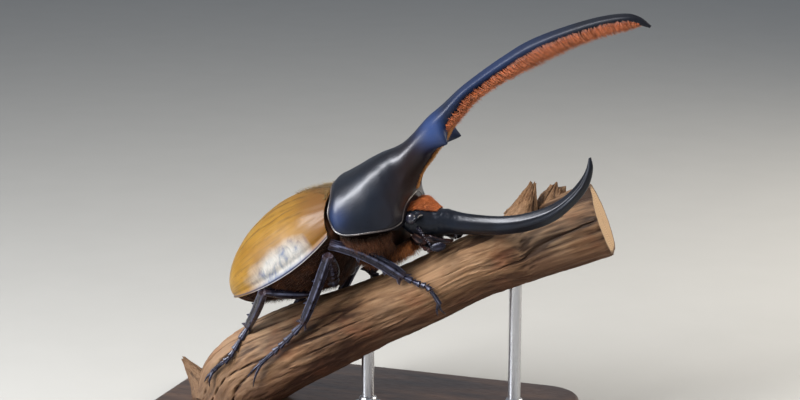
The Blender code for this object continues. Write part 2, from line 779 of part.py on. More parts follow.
def build():
    """Everything, in the order in which neighbours are cut back from each other."""
    for thing in list(bpy.data.objects):
        bpy.data.objects.remove(thing, do_unlink=True)
    parts = fresh_collection("hercules_beetle")
    cutters = fresh_collection("cutters")

    black = principled("black shell", (0.012, 0.014, 0.03), 0.22)
    steel = principled("leg shell", (0.035, 0.03, 0.045), 0.38)
    ochre = principled("wing case", (0.45, 0.27, 0.06), 0.35)
    brown = principled("underside shell", (0.06, 0.03, 0.018), 0.45)
    rust = principled("rust hair", (0.42, 0.14, 0.05), 0.85)
    wood = principled("branch wood", (0.22, 0.13, 0.07), 0.8)
    dark_wood = principled("base wood", (0.05, 0.03, 0.02), 0.4)
    metal = principled("rod metal", (0.6, 0.6, 0.62), 0.3, 1.0)

    stand_origin = bpy.data.objects.new("stand_origin", None)
    parts.objects.link(stand_origin)
    stand_origin.location = (-BASE_MIDDLE * MM, 0, (BASE_THICKNESS - BASE_TOP) * MM)
    hind_body = bpy.data.objects.new("hind_body", None)
    parts.objects.link(hind_body)
    hind_body.parent = stand_origin
    hind_body.rotation_euler = (0, -HIND_PITCH, 0)

    last_shield = len(SHIELD) - 1.0
    shield_places = [0, 0.5, 1, 2, 3, 4, 5, 6, 7, last_shield]
    pronotum = loft("pronotum", [shield_ring(p, SHIELD_SIDES) for p in shield_places], black, stand_origin, parts)
    last_horn = len(UPPER_HORN) - 1.0
    horn_places = [0, 0.5, 1, 1.5, 2, 2.5, 3, 4, 5, 6, 7, 8, 9, 9.6, 10.2, last_horn]
    rings = [horn_ring(place, HORN_SIDES) for place in horn_places]
    upper_horn = loft("thoracic_horn", rings, black, stand_origin, parts)
    helpers = {"material": black, "parent": stand_origin, "into": cutters}
    for sign, side in ((-1, "right"), (1, "left")):
        root, tip = (Vector((x, y * sign, z)) for x, y, z in (HORN_TOOTH["root"], HORN_TOOTH["tip"]))
        tooth = spike("horn_tooth_" + side, root, tip, HORN_TOOTH["width"], helpers, sides=8)
        boolean(upper_horn, tooth, "UNION")
    rings = [horn_hair_ring(place, 8) for place in spread(HAIR_START, HAIR_END, 12)]
    horn_hair = loft("horn_hair", rings, rust, stand_origin, parts)

    places = spread(0, len(LOWER_HORN) - 1, 14)
    rings = [slanted_oval(blend_rows(LOWER_HORN, place), HORN_SIDES) for place in places]
    lower_horn = loft("cephalic_horn", rings, black, stand_origin, parts)
    head = loft("head", upright_rings(HEAD, spread(0, 4, 6), 16), black, stand_origin, parts)
    loft("collar_hair", [collar_ring(*row) for row in COLLAR_HAIR], rust, stand_origin, parts)
    mouth = loft("mouthparts", upright_rings(MOUTH, spread(0, 3, 5), 10), steel, stand_origin, parts)
    places = spread(0, len(BREAST) - 1, 7)
    rings = [slanted_oval(blend_rows(BREAST, place), 16, BREAST_WAIST, 0.5, 1.3) for place in places]
    breast = loft("prothorax", rings, brown, stand_origin, parts)
    breast_hair = loft("breast_hair", upright_rings(BREAST_HAIR, spread(0, 4, 6), 10), rust, stand_origin, parts)

    sides = (("right", -1), ("left", 1))
    eyes = [build_eye("eye_" + side, sign, black, stand_origin, parts) for side, sign in sides]
    feelers = [build_antenna("antenna_" + side, sign, steel, stand_origin, parts, cutters) for side, sign in sides]
    palps = [build_palp("palp_" + side, sign, steel, stand_origin, parts) for side, sign in sides]
    elytra = [build_elytron("elytron_" + side, sign, ochre, hind_body, parts) for side, sign in sides]
    scutellum = build_scutellum(black, hind_body, parts)

    front_places = [1.6, -2.0, -6.0, -10.0, WAIST]
    thorax = loft("thorax", [hind_ring(u, 18) for u in front_places], brown, hind_body, parts)
    rear_places = [WAIST - GAP, -21.0, -27.0, -33.0, -38.0, -41.5, ABDOMEN_END]
    abdomen = loft("abdomen", [hind_ring(u, 18) for u in rear_places], brown, hind_body, parts)

    branch = build_branch(wood, stand_origin, parts, cutters)
    build_base(dark_wood, stand_origin, parts)
    for name, x in ROD_PLACES.items():
        build_rod(name, x, metal, stand_origin, parts, cutters, branch)

    clear_of(scutellum, [pronotum, thorax], cutters)
    for elytron in elytra:
        clear_of(elytron, [scutellum], cutters)
    clear_of(upper_horn, [pronotum], cutters)
    clear_of(horn_hair, [upper_horn], cutters)
    clear_of(head, [pronotum, lower_horn, *eyes], cutters)
    clear_of(mouth, [head, lower_horn, breast], cutters)
    clear_of(breast_hair, [breast, head, mouth, thorax], cutters)
    for thing in feelers + palps:
        clear_of(thing, [head, mouth, branch, *eyes], cutters)

    for name, joints in LEGS.items():
        femur, tibia, tarsus = build_leg(name, joints, steel, stand_origin, parts, cutters)
        clear_of(tibia, [branch, thorax, pronotum], cutters)
        clear_of(femur, [thorax, abdomen, breast, pronotum, *elytra, breast_hair, tibia], cutters)
        clear_of(tarsus, [branch, tibia], cutters)


build()
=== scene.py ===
# %% [markdown]
# # The looks of a hercules beetle
# The measured model of a big male hercules beetle on a cut branch is already there as plain solids. This
# lesson gives every part its real surface: polished horny plates, ochre wing cases, jointed legs, velvet
# under the horn and weathered bark. Sizes are in millimetres in the beetle's own frame, and one function
# turns them into metres in the model's frame. The beetle faces +X and its right side is at -Y.

# %% Load the model and keep its box
import math

import bmesh
import bpy
import numpy as np
from mathutils import Euler, Matrix, Vector, noise


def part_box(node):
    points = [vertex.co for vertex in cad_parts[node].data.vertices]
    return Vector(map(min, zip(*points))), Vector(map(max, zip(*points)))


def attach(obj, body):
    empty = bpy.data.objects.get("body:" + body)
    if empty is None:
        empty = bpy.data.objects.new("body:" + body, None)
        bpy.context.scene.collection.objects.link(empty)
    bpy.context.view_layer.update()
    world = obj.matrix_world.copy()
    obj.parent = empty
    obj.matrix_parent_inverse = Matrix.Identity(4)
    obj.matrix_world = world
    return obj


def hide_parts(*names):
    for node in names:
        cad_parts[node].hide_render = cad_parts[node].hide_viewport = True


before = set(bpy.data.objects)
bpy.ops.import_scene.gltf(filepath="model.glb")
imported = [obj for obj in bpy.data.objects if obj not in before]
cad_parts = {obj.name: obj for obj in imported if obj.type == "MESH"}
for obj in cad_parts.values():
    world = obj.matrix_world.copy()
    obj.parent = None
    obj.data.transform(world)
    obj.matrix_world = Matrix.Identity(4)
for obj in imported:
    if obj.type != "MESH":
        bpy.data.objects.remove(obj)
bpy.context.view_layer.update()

print("nodes in the model:", len(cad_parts))

# %% [markdown]
# ## One frame for everything
# The base stands on z = 0 with its middle at the origin. The beetle's reference point, where the shield
# meets the wing cases, is 58 mm above the top of the base and 2 mm behind its middle. The hind body, with
# the wing cases, is pitched up by 34 degrees about that point.

# %% Units and frames
MM = 0.001
BASE_SIZE = (122.0, 84.0, 8.0)
HEIGHT_OVER_BASE = 58.0
base_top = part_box("stand_base")[1][2] / MM
REFERENCE = Vector((-2.0, 0.0, base_top + HEIGHT_OVER_BASE))
HIND_TURN = Euler((0.0, -math.radians(34), 0.0)).to_matrix()
SIDES = {"right": -1, "left": 1}


def placed(point):
    """Point of the beetle's frame, in millimetres, as metres in the model's frame."""
    return (Vector(point) + REFERENCE) * MM


def placed_hind(u, y, n):
    """Point of the hind body: u along it, y across it, n out of its back."""
    return placed(HIND_TURN @ Vector((u, y, n)))


print("reference point:", [round(value, 1) for value in REFERENCE])

# %% [markdown]
# ## Camera
# The picture looks at the beetle from 20 degrees towards its front and 13 degrees above. The lens is a
# short telephoto, so that the horns are hardly foreshortened. The camera stands on a line through the
# beetle's reference point, moved so that this point falls where the picture has it.

# %% Camera
AZIMUTH = math.radians(20)
ELEVATION = math.radians(13)
LENS = 100.0
DISTANCE = 657.8
AIM_RIGHT = 15.38
AIM_UP = 5.85

right = Vector((math.cos(AZIMUTH), math.sin(AZIMUTH), 0))
level = Vector((math.sin(AZIMUTH), -math.cos(AZIMUTH), 0))
back = level * math.cos(ELEVATION) + Vector((0, 0, math.sin(ELEVATION)))
up = back.cross(right)
camera_data = bpy.data.cameras.new("camera")
camera_data.lens = LENS
camera_data.clip_start = 0.01
camera = bpy.data.objects.new("camera", camera_data)
bpy.context.scene.collection.objects.link(camera)
turn = Matrix((right, up, back)).transposed().to_4x4()
camera.matrix_world = Matrix.Translation(placed(right * AIM_RIGHT + up * AIM_UP + back * DISTANCE)) @ turn
bpy.context.scene.camera = camera
print("camera at", [round(value, 3) for value in camera.matrix_world.translation])

# %% [markdown]
# ## Helpers for the materials
# Every finish below is a node material. These short functions make its parts: noises, colour ramps, mixes
# and relief. A value that is the same all over a piece is set on the shader itself. Only colour,
# roughness, the weight of the coat and the relief are linked, because those can be baked when the model
# is exported.

# %% Shader helpers
def node(tree, kind, inputs=None, **settings):
    """A shader node; an input is a value or another node's socket."""
    made = tree.nodes.new(kind)
    for key, value in settings.items():
        setattr(made, key, value)
    for key, value in (inputs or {}).items():
        if isinstance(value, bpy.types.NodeSocket):
            tree.links.new(value, made.inputs[key])
        else:
            made.inputs[key].default_value = value
    return made


def ramp(tree, factor, stops):
    """Colour ramp through (place, colour) stops."""
    made = node(tree, "ShaderNodeValToRGB", {"Fac": factor})
    elements = made.color_ramp.elements
    while len(elements) < len(stops):
        elements.new(1.0)
    for element, (place, colour) in zip(elements, stops):
        element.position = place
        element.color = (*colour, 1.0)
    return made.outputs["Color"]


def grey(value):
    """Grey colour."""
    return (value, value, value)


def principled(name, **values):
    """Material with one Principled shader; underscores stand for spaces in its socket names."""
    material = bpy.data.materials.new(name)
    material.use_nodes = True
    tree = material.node_tree
    shader = tree.nodes["Principled BSDF"]
    for key, value in values.items():
        socket = shader.inputs[key.replace("_", " ")]
        socket.default_value = (*value, 1.0) if socket.type == "RGBA" else value
    return material, tree, shader


def object_noise(tree, scale, detail=3.0, stretch=(1.0, 1.0, 1.0), roughness=0.55):
    """Noise on object coordinates; scale counts features per metre."""
    place = node(tree, "ShaderNodeTexCoord").outputs["Object"]
    mapped = node(tree, "ShaderNodeMapping", {"Vector": place, "Scale": stretch})
    inputs = {"Vector": mapped.outputs["Vector"], "Scale": scale, "Detail": detail, "Roughness": roughness}
    return node(tree, "ShaderNodeTexNoise", inputs).outputs["Fac"]


def cell_noise(tree, scale):
    """Distance to the nearest of many scattered points; scale counts them per metre."""
    place = node(tree, "ShaderNodeTexCoord").outputs["Object"]
    return node(tree, "ShaderNodeTexVoronoi", {"Vector": place, "Scale": scale}).outputs["Distance"]


def grain_map(tree, stretch):
    """The piece's own map, with one turn lengthwise and one around, stretched."""
    place = node(tree, "ShaderNodeUVMap", uv_map="Grain").outputs["UV"]
    return node(tree, "ShaderNodeMapping", {"Vector": place, "Scale": stretch}).outputs["Vector"]


def grain_noise(tree, stretch, detail, roughness=0.5, distortion=0.0):
    """Noise on the piece's own map, so that it runs along the piece."""
    inputs = {
        "Vector": grain_map(tree, stretch), "Scale": 1.0, "Detail": detail,
        "Roughness": roughness, "Distortion": distortion,
    }
    return node(tree, "ShaderNodeTexNoise", inputs).outputs["Fac"]


def attribute(tree, name):
    """A value stored on the piece's points."""
    return node(tree, "ShaderNodeAttribute", attribute_name=name).outputs["Fac"]


def math_node(tree, operation, *values):
    """Sum, product or other small calculation."""
    made = node(tree, "ShaderNodeMath", operation=operation)
    for socket, value in zip(made.inputs, values):
        if isinstance(value, bpy.types.NodeSocket):
            tree.links.new(value, socket)
        else:
            socket.default_value = value
    return made.outputs[0]


def mixed(tree, factor, first, second, blend="MIX"):
    """Mix of two colours."""
    made = node(tree, "ShaderNodeMix", data_type="RGBA", blend_type=blend)
    for key, value in ((0, factor), (6, first), (7, second)):
        if isinstance(value, bpy.types.NodeSocket):
            tree.links.new(value, made.inputs[key])
        else:
            made.inputs[key].default_value = value if key == 0 else (*value, 1.0)
    return made.outputs[2]


def bump(tree, shader, height, strength, distance):
    """Surface relief from a height, on top of any relief already there."""
    inputs = {"Height": height, "Strength": strength, "Distance": distance}
    if shader.inputs["Normal"].links:
        inputs["Normal"] = shader.inputs["Normal"].links[0].from_socket
    made = node(tree, "ShaderNodeBump", inputs)
    tree.links.new(made.outputs["Normal"], shader.inputs["Normal"])


def drive(tree, shader, **sockets):
    """Link sockets of the shader; underscores stand for spaces."""
    for key, value in sockets.items():
        tree.links.new(value, shader.inputs[key.replace("_", " ")])


print("shader helpers ready")

# %% [markdown]
# ## Floor and studio light
# A pale floor wide enough to fill the picture, a cool even sky, one big soft key lamp from the upper
# left, and a warm lamp from behind on the right, which gives the thin warm edges that the picture shows.
# The long highlight on the shield lies higher than the key lamp would put it, so a lamp of its own makes
# it, seen only in reflections.

# %% Floor, sky and lamps
FLOOR_HALF = 3.0
floor_mesh = bmesh.new()
bmesh.ops.create_grid(floor_mesh, x_segments=1, y_segments=1, size=FLOOR_HALF)
floor_data = bpy.data.meshes.new("floor")
floor_mesh.to_mesh(floor_data)
floor_mesh.free()
floor_material, tree, shader = principled("pale floor", Roughness=0.8, Specular_IOR_Level=0.1)
speckle = object_noise(tree, 40.0)
drive(tree, shader, Base_Color=ramp(tree, speckle, [
    (0.3, (0.425, 0.425, 0.415)), (0.7, (0.435, 0.435, 0.425)),
]))
floor_data.materials.append(floor_material)
floor = bpy.data.objects.new("floor", floor_data)
bpy.context.scene.collection.objects.link(floor)

sky = bpy.data.worlds.new("studio sky")
sky.use_nodes = True
sky.node_tree.nodes["Background"].inputs["Color"].default_value = (0.80, 0.88, 1.0, 1.0)
sky.node_tree.nodes["Background"].inputs["Strength"].default_value = 0.28
bpy.context.scene.world = sky
bpy.context.scene.view_settings.view_transform = "Standard"

LAMPS = {
    "key": {
        "from": (-170, -360, 400), "at": (5, 0, 5), "size": (0.11, 0.55),
        "watts": 6.6, "colour": (1.0, 0.98, 0.95),
    },
    "gloss": {
        "from": (-290, -225, 420), "at": (5, 0, 5), "size": (0.13, 0.55),
        "watts": 13.0, "colour": (0.97, 0.98, 1.0),
    },
    "side": {
        "from": (-420, -380, 90), "at": (-10, 0, 0), "size": (0.2, 0.2),
        "watts": 1.3, "colour": (0.86, 0.92, 1.0),
    },
    "rim": {
        "from": (420, 320, 260), "at": (30, 0, 10), "size": (0.26, 0.26),
        "watts": 3.0, "colour": (1.0, 0.90, 0.76),
    },
    "fill": {
        "from": (430, -420, 160), "at": (20, 0, 0), "size": (0.4, 0.4),
        "watts": 0.25, "colour": (0.84, 0.91, 1.0),
    },
}
for name, lamp in LAMPS.items():
    data = bpy.data.lights.new(name, "AREA")
    data.shape = "RECTANGLE"
    data.size, data.size_y = lamp["size"]
    data.energy = lamp["watts"]
    data.color = lamp["colour"]
    thing = bpy.data.objects.new(name, data)
    thing.location = placed(lamp["from"])
    thing.rotation_euler = (thing.location - placed(lamp["at"])).to_track_quat("Z", "Y").to_euler()
    thing.visible_glossy = name != "key"
    thing.visible_diffuse = name != "gloss"
    bpy.context.scene.collection.objects.link(thing)
print("lamps:", ", ".join(LAMPS))

# %% [markdown]
# ## Sheets wrapped onto shapes
# Every plate, horn, leg and the branch is a tube or a dome. Each could be sculpted by hand, or turned,
# but a real horn swells and bends, so its sections differ. Here a flat grid is laid onto the surface: one
# side of the grid runs along the part and the other around it. The grid's own map then follows the part,
# as grain and wrinkles do.

# %% Wrapping helpers
WELD = 0.000002


def blend_rows(rows, place):
    """Row of numbers at a place along a table, on a smooth curve through its rows."""
    place = min(max(place, 0.0), len(rows) - 1.0)
    index = min(int(place), len(rows) - 2)
    share = place - index
    before = rows[max(index - 1, 0)]
    start = rows[index]
    end = rows[index + 1]
    after = rows[min(index + 2, len(rows) - 1)]
    result = []
    for a, b, c, d in zip(before, start, end, after):
        bend = (2 * a - 5 * b + 4 * c - d) * share ** 2 + (3 * b - a - 3 * c + d) * share ** 3
        result.append(b + 0.5 * ((c - a) * share + bend))
    return result


def between(value, low, high):
    """Smooth step from 0 at low to 1 at high."""
    share = min(max((value - low) / (high - low), 0.0), 1.0)
    return share * share * (3 - 2 * share)


def hump(value, middle, width):
    """Round bump of height 1."""
    return math.exp(-((value - middle) / width) ** 2)


def signed_power(value, exponent):
    """A power that keeps the sign."""
    return math.copysign(abs(value) ** exponent, value)


def oval_point(centre, side, upward, half_width, rise, drop, angle, squareness=1.0, keel=None):
    """Point of an oval with its own height above and depth below its widest place."""
    lower = math.sin(angle) < 0
    power = keel if lower and keel else squareness
    across = half_width * signed_power(math.cos(angle), power)
    height = signed_power(math.sin(angle), power) * (drop if lower else rise)
    return centre + side * across + upward * height


def wrapped(lengthwise, around, surface):
    """Grid laid onto surface(u, v), with both from 0 to 1; points that fall together are merged."""
    mesh = bmesh.new()
    mesh.loops.layers.uv.new("Grain")
    bmesh.ops.create_grid(mesh, x_segments=lengthwise, y_segments=around, size=0.5, calc_uvs=True)
    for vert in mesh.verts:
        vert.co = surface(vert.co.x + 0.5, vert.co.y + 0.5)
    bmesh.ops.remove_doubles(mesh, verts=mesh.verts, dist=WELD)
    return mesh


def close_ends(mesh):
    """Fan over each open end, with a point in its middle."""
    rim = [edge for edge in mesh.edges if edge.is_boundary]
    filled = bmesh.ops.holes_fill(mesh, edges=rim, sides=0)["faces"]
    bmesh.ops.poke(mesh, faces=filled)


def face_outwards(mesh):
    """Every face of a closed mesh turned outwards."""
    bmesh.ops.recalc_face_normals(mesh, faces=mesh.faces)
    if mesh.calc_volume(signed=True) < 0:
        bmesh.ops.reverse_faces(mesh, faces=mesh.faces)


def finished(name, mesh, material, replaced=(), crease=70):
    """Piece from a mesh: smooth shaded, riding on the model, standing for the nodes it replaces."""
    data = bpy.data.meshes.new(name)
    mesh.to_mesh(data)
    mesh.free()
    data.shade_smooth()
    data.set_sharp_from_angle(angle=math.radians(crease))
    data.materials.append(material)
    piece = bpy.data.objects.new(name, data)
    bpy.context.scene.collection.objects.link(piece)
    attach(piece, "root")
    if replaced:
        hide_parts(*replaced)
    print(name, "faces:", len(data.polygons))
    return piece


def stored(data, name, values):
    """Store one value per point on a mesh, for its material."""
    layer = data.attributes.new(name, "FLOAT", "POINT")
    layer.data.foreach_set("value", np.array(values, dtype=np.float32))


def joined(meshes):
    """Several meshes in one."""
    whole = bmesh.new()
    whole.loops.layers.uv.new("Grain")
    for mesh in meshes:
        data = bpy.data.meshes.new("part")
        mesh.to_mesh(data)
        mesh.free()
        whole.from_mesh(data)
        bpy.data.meshes.remove(data)
    return whole


print("wrapping helpers ready")

# %% [markdown]
# ## Blue-black horny plates
# The shield and both horns are polished chitin. It is black, but its thin clear outer layer throws back
# the sky. A nearly black base under a thin clear coat gives that. Values stored on the plate add a painted
# blue reflection of the sky in some places, tint it brown in others and dull it, as said below. Very fine
# dimples break the highlight into grains at its edge, as leather does.

# %% Material of the shield and horns
def polished_black(name, blue, dimples):
    """Polished horny plate; blue is its tint and dimples the strength of its fine relief."""
    material, tree, shader = principled(
        name, Specular_IOR_Level=0.10, Specular_Tint=(0.84, 0.86, 1.0),
        Coat_Roughness=0.27, Coat_Tint=(0.93, 0.94, 1.0),
    )
    cloud = object_noise(tree, 90.0)
    deep = (0.006, 0.006, 0.008)
    light = (0.007 + blue * 0.2, 0.009 + blue * 0.4, 0.012 + blue)
    tint = ramp(tree, cloud, [(0.3, deep), (0.72, light)])
    brown_share = math_node(tree, "MULTIPLY", attribute(tree, "Brown"), 0.8)
    browned = mixed(tree, brown_share, tint, (0.022, 0.010, 0.006))
    # This value paints the sky's blue reflection into the base colour; the same value also dulls the coat.
    painted_sky_blue = attribute(tree, "Blue")
    painted_blue_share = math_node(tree, "MULTIPLY", painted_sky_blue, 0.80)
    sky_blue_painted = mixed(tree, painted_blue_share, browned, (0.016, 0.040, 0.135))
    drive(tree, shader, Base_Color=sky_blue_painted)
    fine = object_noise(tree, 2000.0, 3.0)
    rough = ramp(tree, fine, [(0.3, grey(0.27)), (0.75, grey(0.42))])
    shaded = math_node(tree, "MAXIMUM", attribute(tree, "Below"), painted_sky_blue)
    drive(tree, shader, Roughness=math_node(tree, "MULTIPLY_ADD", shaded, 0.35, rough))
    drive(tree, shader, Coat_Weight=math_node(tree, "MULTIPLY_ADD", shaded, -0.30, 0.30))
    bump(tree, shader, fine, dimples, 0.00010)
    pits = ramp(tree, cell_noise(tree, 1100.0), [(0.0, grey(0.0)), (0.28, grey(1.0))])
    bump(tree, shader, pits, dimples * 0.5, 0.00005)
    return material


SHELL_BLACK = polished_black("polished shield", 0.006, 0.75)
print("material:", SHELL_BLACK.name)

# %% [markdown]
# ## Shield and upper horn
# On the real beetle the shield over the first pair of legs and the long upper horn are one plate, so they
# are one sheet here. A table holds its sections, each by an underside point, a topside point, the half
# width and the height of the widest place. The horn has a low ridge along its back, and a tooth on each
# side near its root, which is drawn out of the surface as one would pull clay.

# %% Sections of the shield and upper horn
SHIELD = [
    (2.3, 1.3, -3.7, 12.2, 17.3, 0.10),
    (4.4, 0.2, -2.0, 13.9, 19.0, 0.10),
    (8.6, -0.3, 0.9, 15.4, 19.4, 0.10),
    (15.7, 0.9, 6.3, 18.7, 17.3, 0.12),
    (20.4, 3.2, 10.2, 21.0, 14.0, 0.16),
    (20.9, 7.0, 12.6, 22.1, 11.0, 0.24),
    (21.9, 11.6, 15.0, 23.1, 8.0, 0.34),
    (23.4, 16.2, 17.6, 24.7, 6.4, 0.44),
    (26.2, 20.8, 20.4, 27.4, 5.6, 0.50),
]
UPPER_HORN = [
    (20.9, 27.2, 44, 8.3, 5.8),
    (24.7, 32.2, 46, 7.6, 5.0),
    (29.0, 35.8, 46, 6.6, 4.4),
    (35.0, 41.6, 43, 6.0, 3.9),
    (41.6, 46.9, 38, 5.8, 3.6),
    (47.9, 51.5, 34, 6.1, 3.4),
    (54.8, 56.0, 29, 6.5, 3.3),
    (63.5, 59.9, 22, 5.8, 3.0),
    (74.2, 63.6, 15, 5.0, 2.6),
    (82.4, 65.2, 3, 4.0, 2.0),
    (87.0, 64.6, -16, 2.3, 1.3),
    (90.3, 62.5, -34, 0.8, 0.5),
]
HORN_TOOTH = {
    "base": (28.9, 3.8, 28.2), "tip": (33.4, 6.4, 26.2),
    "reach": 4.6, "along": (0.69, 0.0, 0.72),
}
LEFTWARD = Vector((0, 1, 0))


def hair_share(place):
    """Share of the upper horn's depth that is hair, fading out at both ends of the fringe."""
    rise = min(max((place - 1.4) / 1.4, 0.0), 1.0)
    fall = min(max(10.2 - place, 0.0), 1.0)
    return 0.40 * rise * fall


def horn_down(place):
    """Topside point, downward direction, depth and half width of the upper horn."""
    x, z, degrees, depth, half_width = blend_rows(UPPER_HORN, place)
    turn = math.radians(degrees)
    return Vector((x, 0, z)), Vector((math.sin(turn), 0, -math.cos(turn))), depth, half_width


SHELL = list(SHIELD)
for number in range(1, len(UPPER_HORN)):
    top, down, depth, half_width = horn_down(number)
    low = top + down * depth * (1 - hair_share(number))
    SHELL.append((low.x, low.z, top.x, top.z, half_width, 0.5))
HORN_ROOT = len(SHIELD) - 1


def shell_point(place, angle, lift=0.0):
    """Point of the shield and horn; angle 0 is the left margin and 90 degrees the back."""
    x_low, z_low, x_high, z_high, half_width, waist = blend_rows(SHELL, place)
    low = Vector((x_low, 0, z_low))
    upward = Vector((x_high - x_low, 0, z_high - z_low))
    height = upward.length
    upward.normalize()
    on_horn = between(place, HORN_ROOT, HORN_ROOT + 2)
    ridge = 0.35 * on_horn * hump(angle, math.pi / 2, 0.24) * between(len(SHELL) - 1 - place, 0.0, 2.0)
    rise = height * (1 - waist) + lift + ridge
    squareness = 0.94 + 0.06 * on_horn
    centre = low + upward * height * waist
    drop = height * waist + lift
    point = oval_point(centre, LEFTWARD, upward, half_width + lift, rise, drop, angle, squareness)
    sideways = between(abs(math.cos(angle)), 0.15, 0.6)
    corner = hump(place, 3.9, 1.05) * between(0.42 - math.sin(angle), 0.0, 0.5) * sideways
    point += Vector((0.25, math.copysign(0.5, math.cos(angle)), -1.75)) * corner
    point.z -= 0.75 * hump(place, 1.6, 1.3) * between(0.35 - math.sin(angle), 0.0, 0.4)
    point.x += 1.7 * hump(place, 0.0, 1.3) * hump(math.sin(angle), 0.72, 0.34)
    return point


print("sections:", len(SHELL))

# %% Shield and upper horn
SHELL_STEPS = 250
SHELL_AROUND = 112


def shell_surface(u, v):
    """Sheet of the shield and horn, its seam along the underside."""
    place = u * (len(SHELL) - 1)
    angle = 2 * math.pi * v - math.pi / 2
    point = shell_point(place, angle)
    spot = point * 0.11
    dent = noise.noise(spot) * 0.22 + noise.noise(spot * 3.1) * 0.08
    fade = 1 - between(place, HORN_ROOT + 1, HORN_ROOT + 4)
    inward = (point - Vector((9.0, 0.0, 6.0))).normalized()
    return point + inward * dent * fade


shell = wrapped(SHELL_STEPS, SHELL_AROUND, shell_surface)
close_ends(shell)
for sign in SIDES.values():
    base, tip = (Vector((x, y * sign, z)) for x, y, z in (HORN_TOOTH["base"], HORN_TOOTH["tip"]))
    along = Vector(HORN_TOOTH["along"])
    for vert in shell.verts:
        offset = vert.co - base
        slide = offset.dot(along)
        away = (offset - along * slide * (0.45 if slide < 0 else 0.0)).length / HORN_TOOTH["reach"]
        if away < 1:
            vert.co += (tip - base) * (1 - away) ** 1.8 * between(vert.co.y * sign, 0.0, 1.6)
print("points of the sheet:", len(shell.verts))

# %% [markdown]
# ## Tubes
# A rim, a leg, a palp or a feeler is a tube whose thickness changes along its line. A curve object with a
# bevel would give an even tube; this one takes a table of radii and a factor for ridges or beads, and
# keeps its own map.

# %% Tubes along a path
def smooth_path(points, count):
    """Points evenly placed on a smooth curve through the given points."""
    last = len(points) - 1
    return [Vector(blend_rows(points, last * step / (count - 1))) for step in range(count)]


def path_frames(points, facing):
    """Along each point of a path: the point, a direction across and a direction towards facing."""
    frames = []
    for index, point in enumerate(points):
        along = (points[min(index + 1, len(points) - 1)] - points[max(index - 1, 0)]).normalized()
        across = facing.cross(along).normalized()
        frames.append((point, across, along.cross(across).normalized()))
    return frames


def tube(points, radii, around, facing=LEFTWARD, flat=1.0, detail=None):
    """Closed tube along points; radii is a table along it, and detail a factor from share and angle."""
    frames = path_frames(points, facing)
    table = [(radius,) for radius in radii]

    def surface(u, v):
        index = round(u * (len(points) - 1))
        point, across, thin = frames[index]
        angle = 2 * math.pi * v - math.pi / 2
        radius = blend_rows(table, u * (len(table) - 1))[0]
        if detail:
            radius *= detail(u, angle)
        return point + (across * math.cos(angle) + thin * math.sin(angle) * flat) * radius

    mesh = wrapped(len(points) - 1, around, surface)
    close_ends(mesh)
    return mesh


def put(mesh, place=placed):
    """Move a mesh from the beetle's frame to the model's, facing outwards."""
    for vert in mesh.verts:
        vert.co = place(vert.co)
    face_outwards(mesh)
    return mesh


print("tube helper ready")

# %% [markdown]
# ## Tints of the shield
# The plate isn't evenly black. A painted blue reflection of the sky lies at the horn's root, along the horn
# and at the shield's rear corner; the plate is brown over its side, and duller below, in front and along the
# horn. Each of these is a value from 0 to 1 for every point, computed from its place and stored, and the
# material reads it. Paint would have to be redone with each change of the mesh.

# %% Shield piece and its stored values
put(shell)
places = np.array([vert.co for vert in shell.verts]) / MM - np.array(REFERENCE)
shell_piece = finished("shield_and_horn", shell, SHELL_BLACK, ("pronotum", "thoracic_horn"))
x, y, z = places.T
# Where the sky's blue reflection is painted onto the plate.
painted_blue_at_horn_root = np.exp(-((x - 27.6) / 4.6) ** 2 - ((z - 30.2) / 5.5) ** 2)
painted_blue_at_corner = 0.60 * np.exp(-((x - 3.2) / 3.2) ** 2 - ((z - 5.0) / 3.2) ** 2)
painted_blue_along_horn = 0.42 * np.clip((x - 28.0) / 8.0, 0, 1) * np.clip((70.0 - x) / 24.0, 0, 1)
stored(shell_piece.data, "Blue", np.maximum(np.maximum(painted_blue_at_horn_root, painted_blue_at_corner), painted_blue_along_horn))
stored(shell_piece.data, "Brown", np.exp(-((x - 24.0) / 6.0) ** 2 - ((z - 14.0) / 12.0) ** 2))
normals = np.zeros(len(places) * 3, dtype=np.float32)
shell_piece.data.vertex_normals.foreach_get("vector", normals)
downward = np.clip(-2.0 * normals[2::3] - 0.6, 0, 1)
forward = np.clip(2.4 * normals[0::3] - 1.2, 0, 1) * np.clip((z - 10.5) / 2.0, 0, 1)
dull_horn = 0.75 * np.clip((x - 30.0) / 8.0, 0, 1) * np.clip((90.0 - x) / 12.0, 0, 1)
stored(shell_piece.data, "Below", np.maximum(np.maximum(downward, forward) * (x < 36.0), dull_horn))

# %% [markdown]
# ## Rim of the shield
# A narrow raised rim runs round the shield's rear and side edges and up its front. It is paler than the
# plate, in patches. A tube along the edge gives it: its middle line is computed from the same sections, so
# it follows them.

# %% Rim material and rim
RIM_PALE, tree, shader = principled("pale rim", Roughness=0.34, Coat_Weight=0.25, Coat_Roughness=0.15)
rim_patches = object_noise(tree, 320.0, 4.0)
drive(tree, shader, Base_Color=ramp(tree, rim_patches, [
    (0.30, (0.016, 0.013, 0.017)), (0.50, (0.052, 0.042, 0.040)), (0.72, (0.13, 0.105, 0.095)),
]))
bump(tree, shader, object_noise(tree, 1500.0), 0.25, 0.00006)

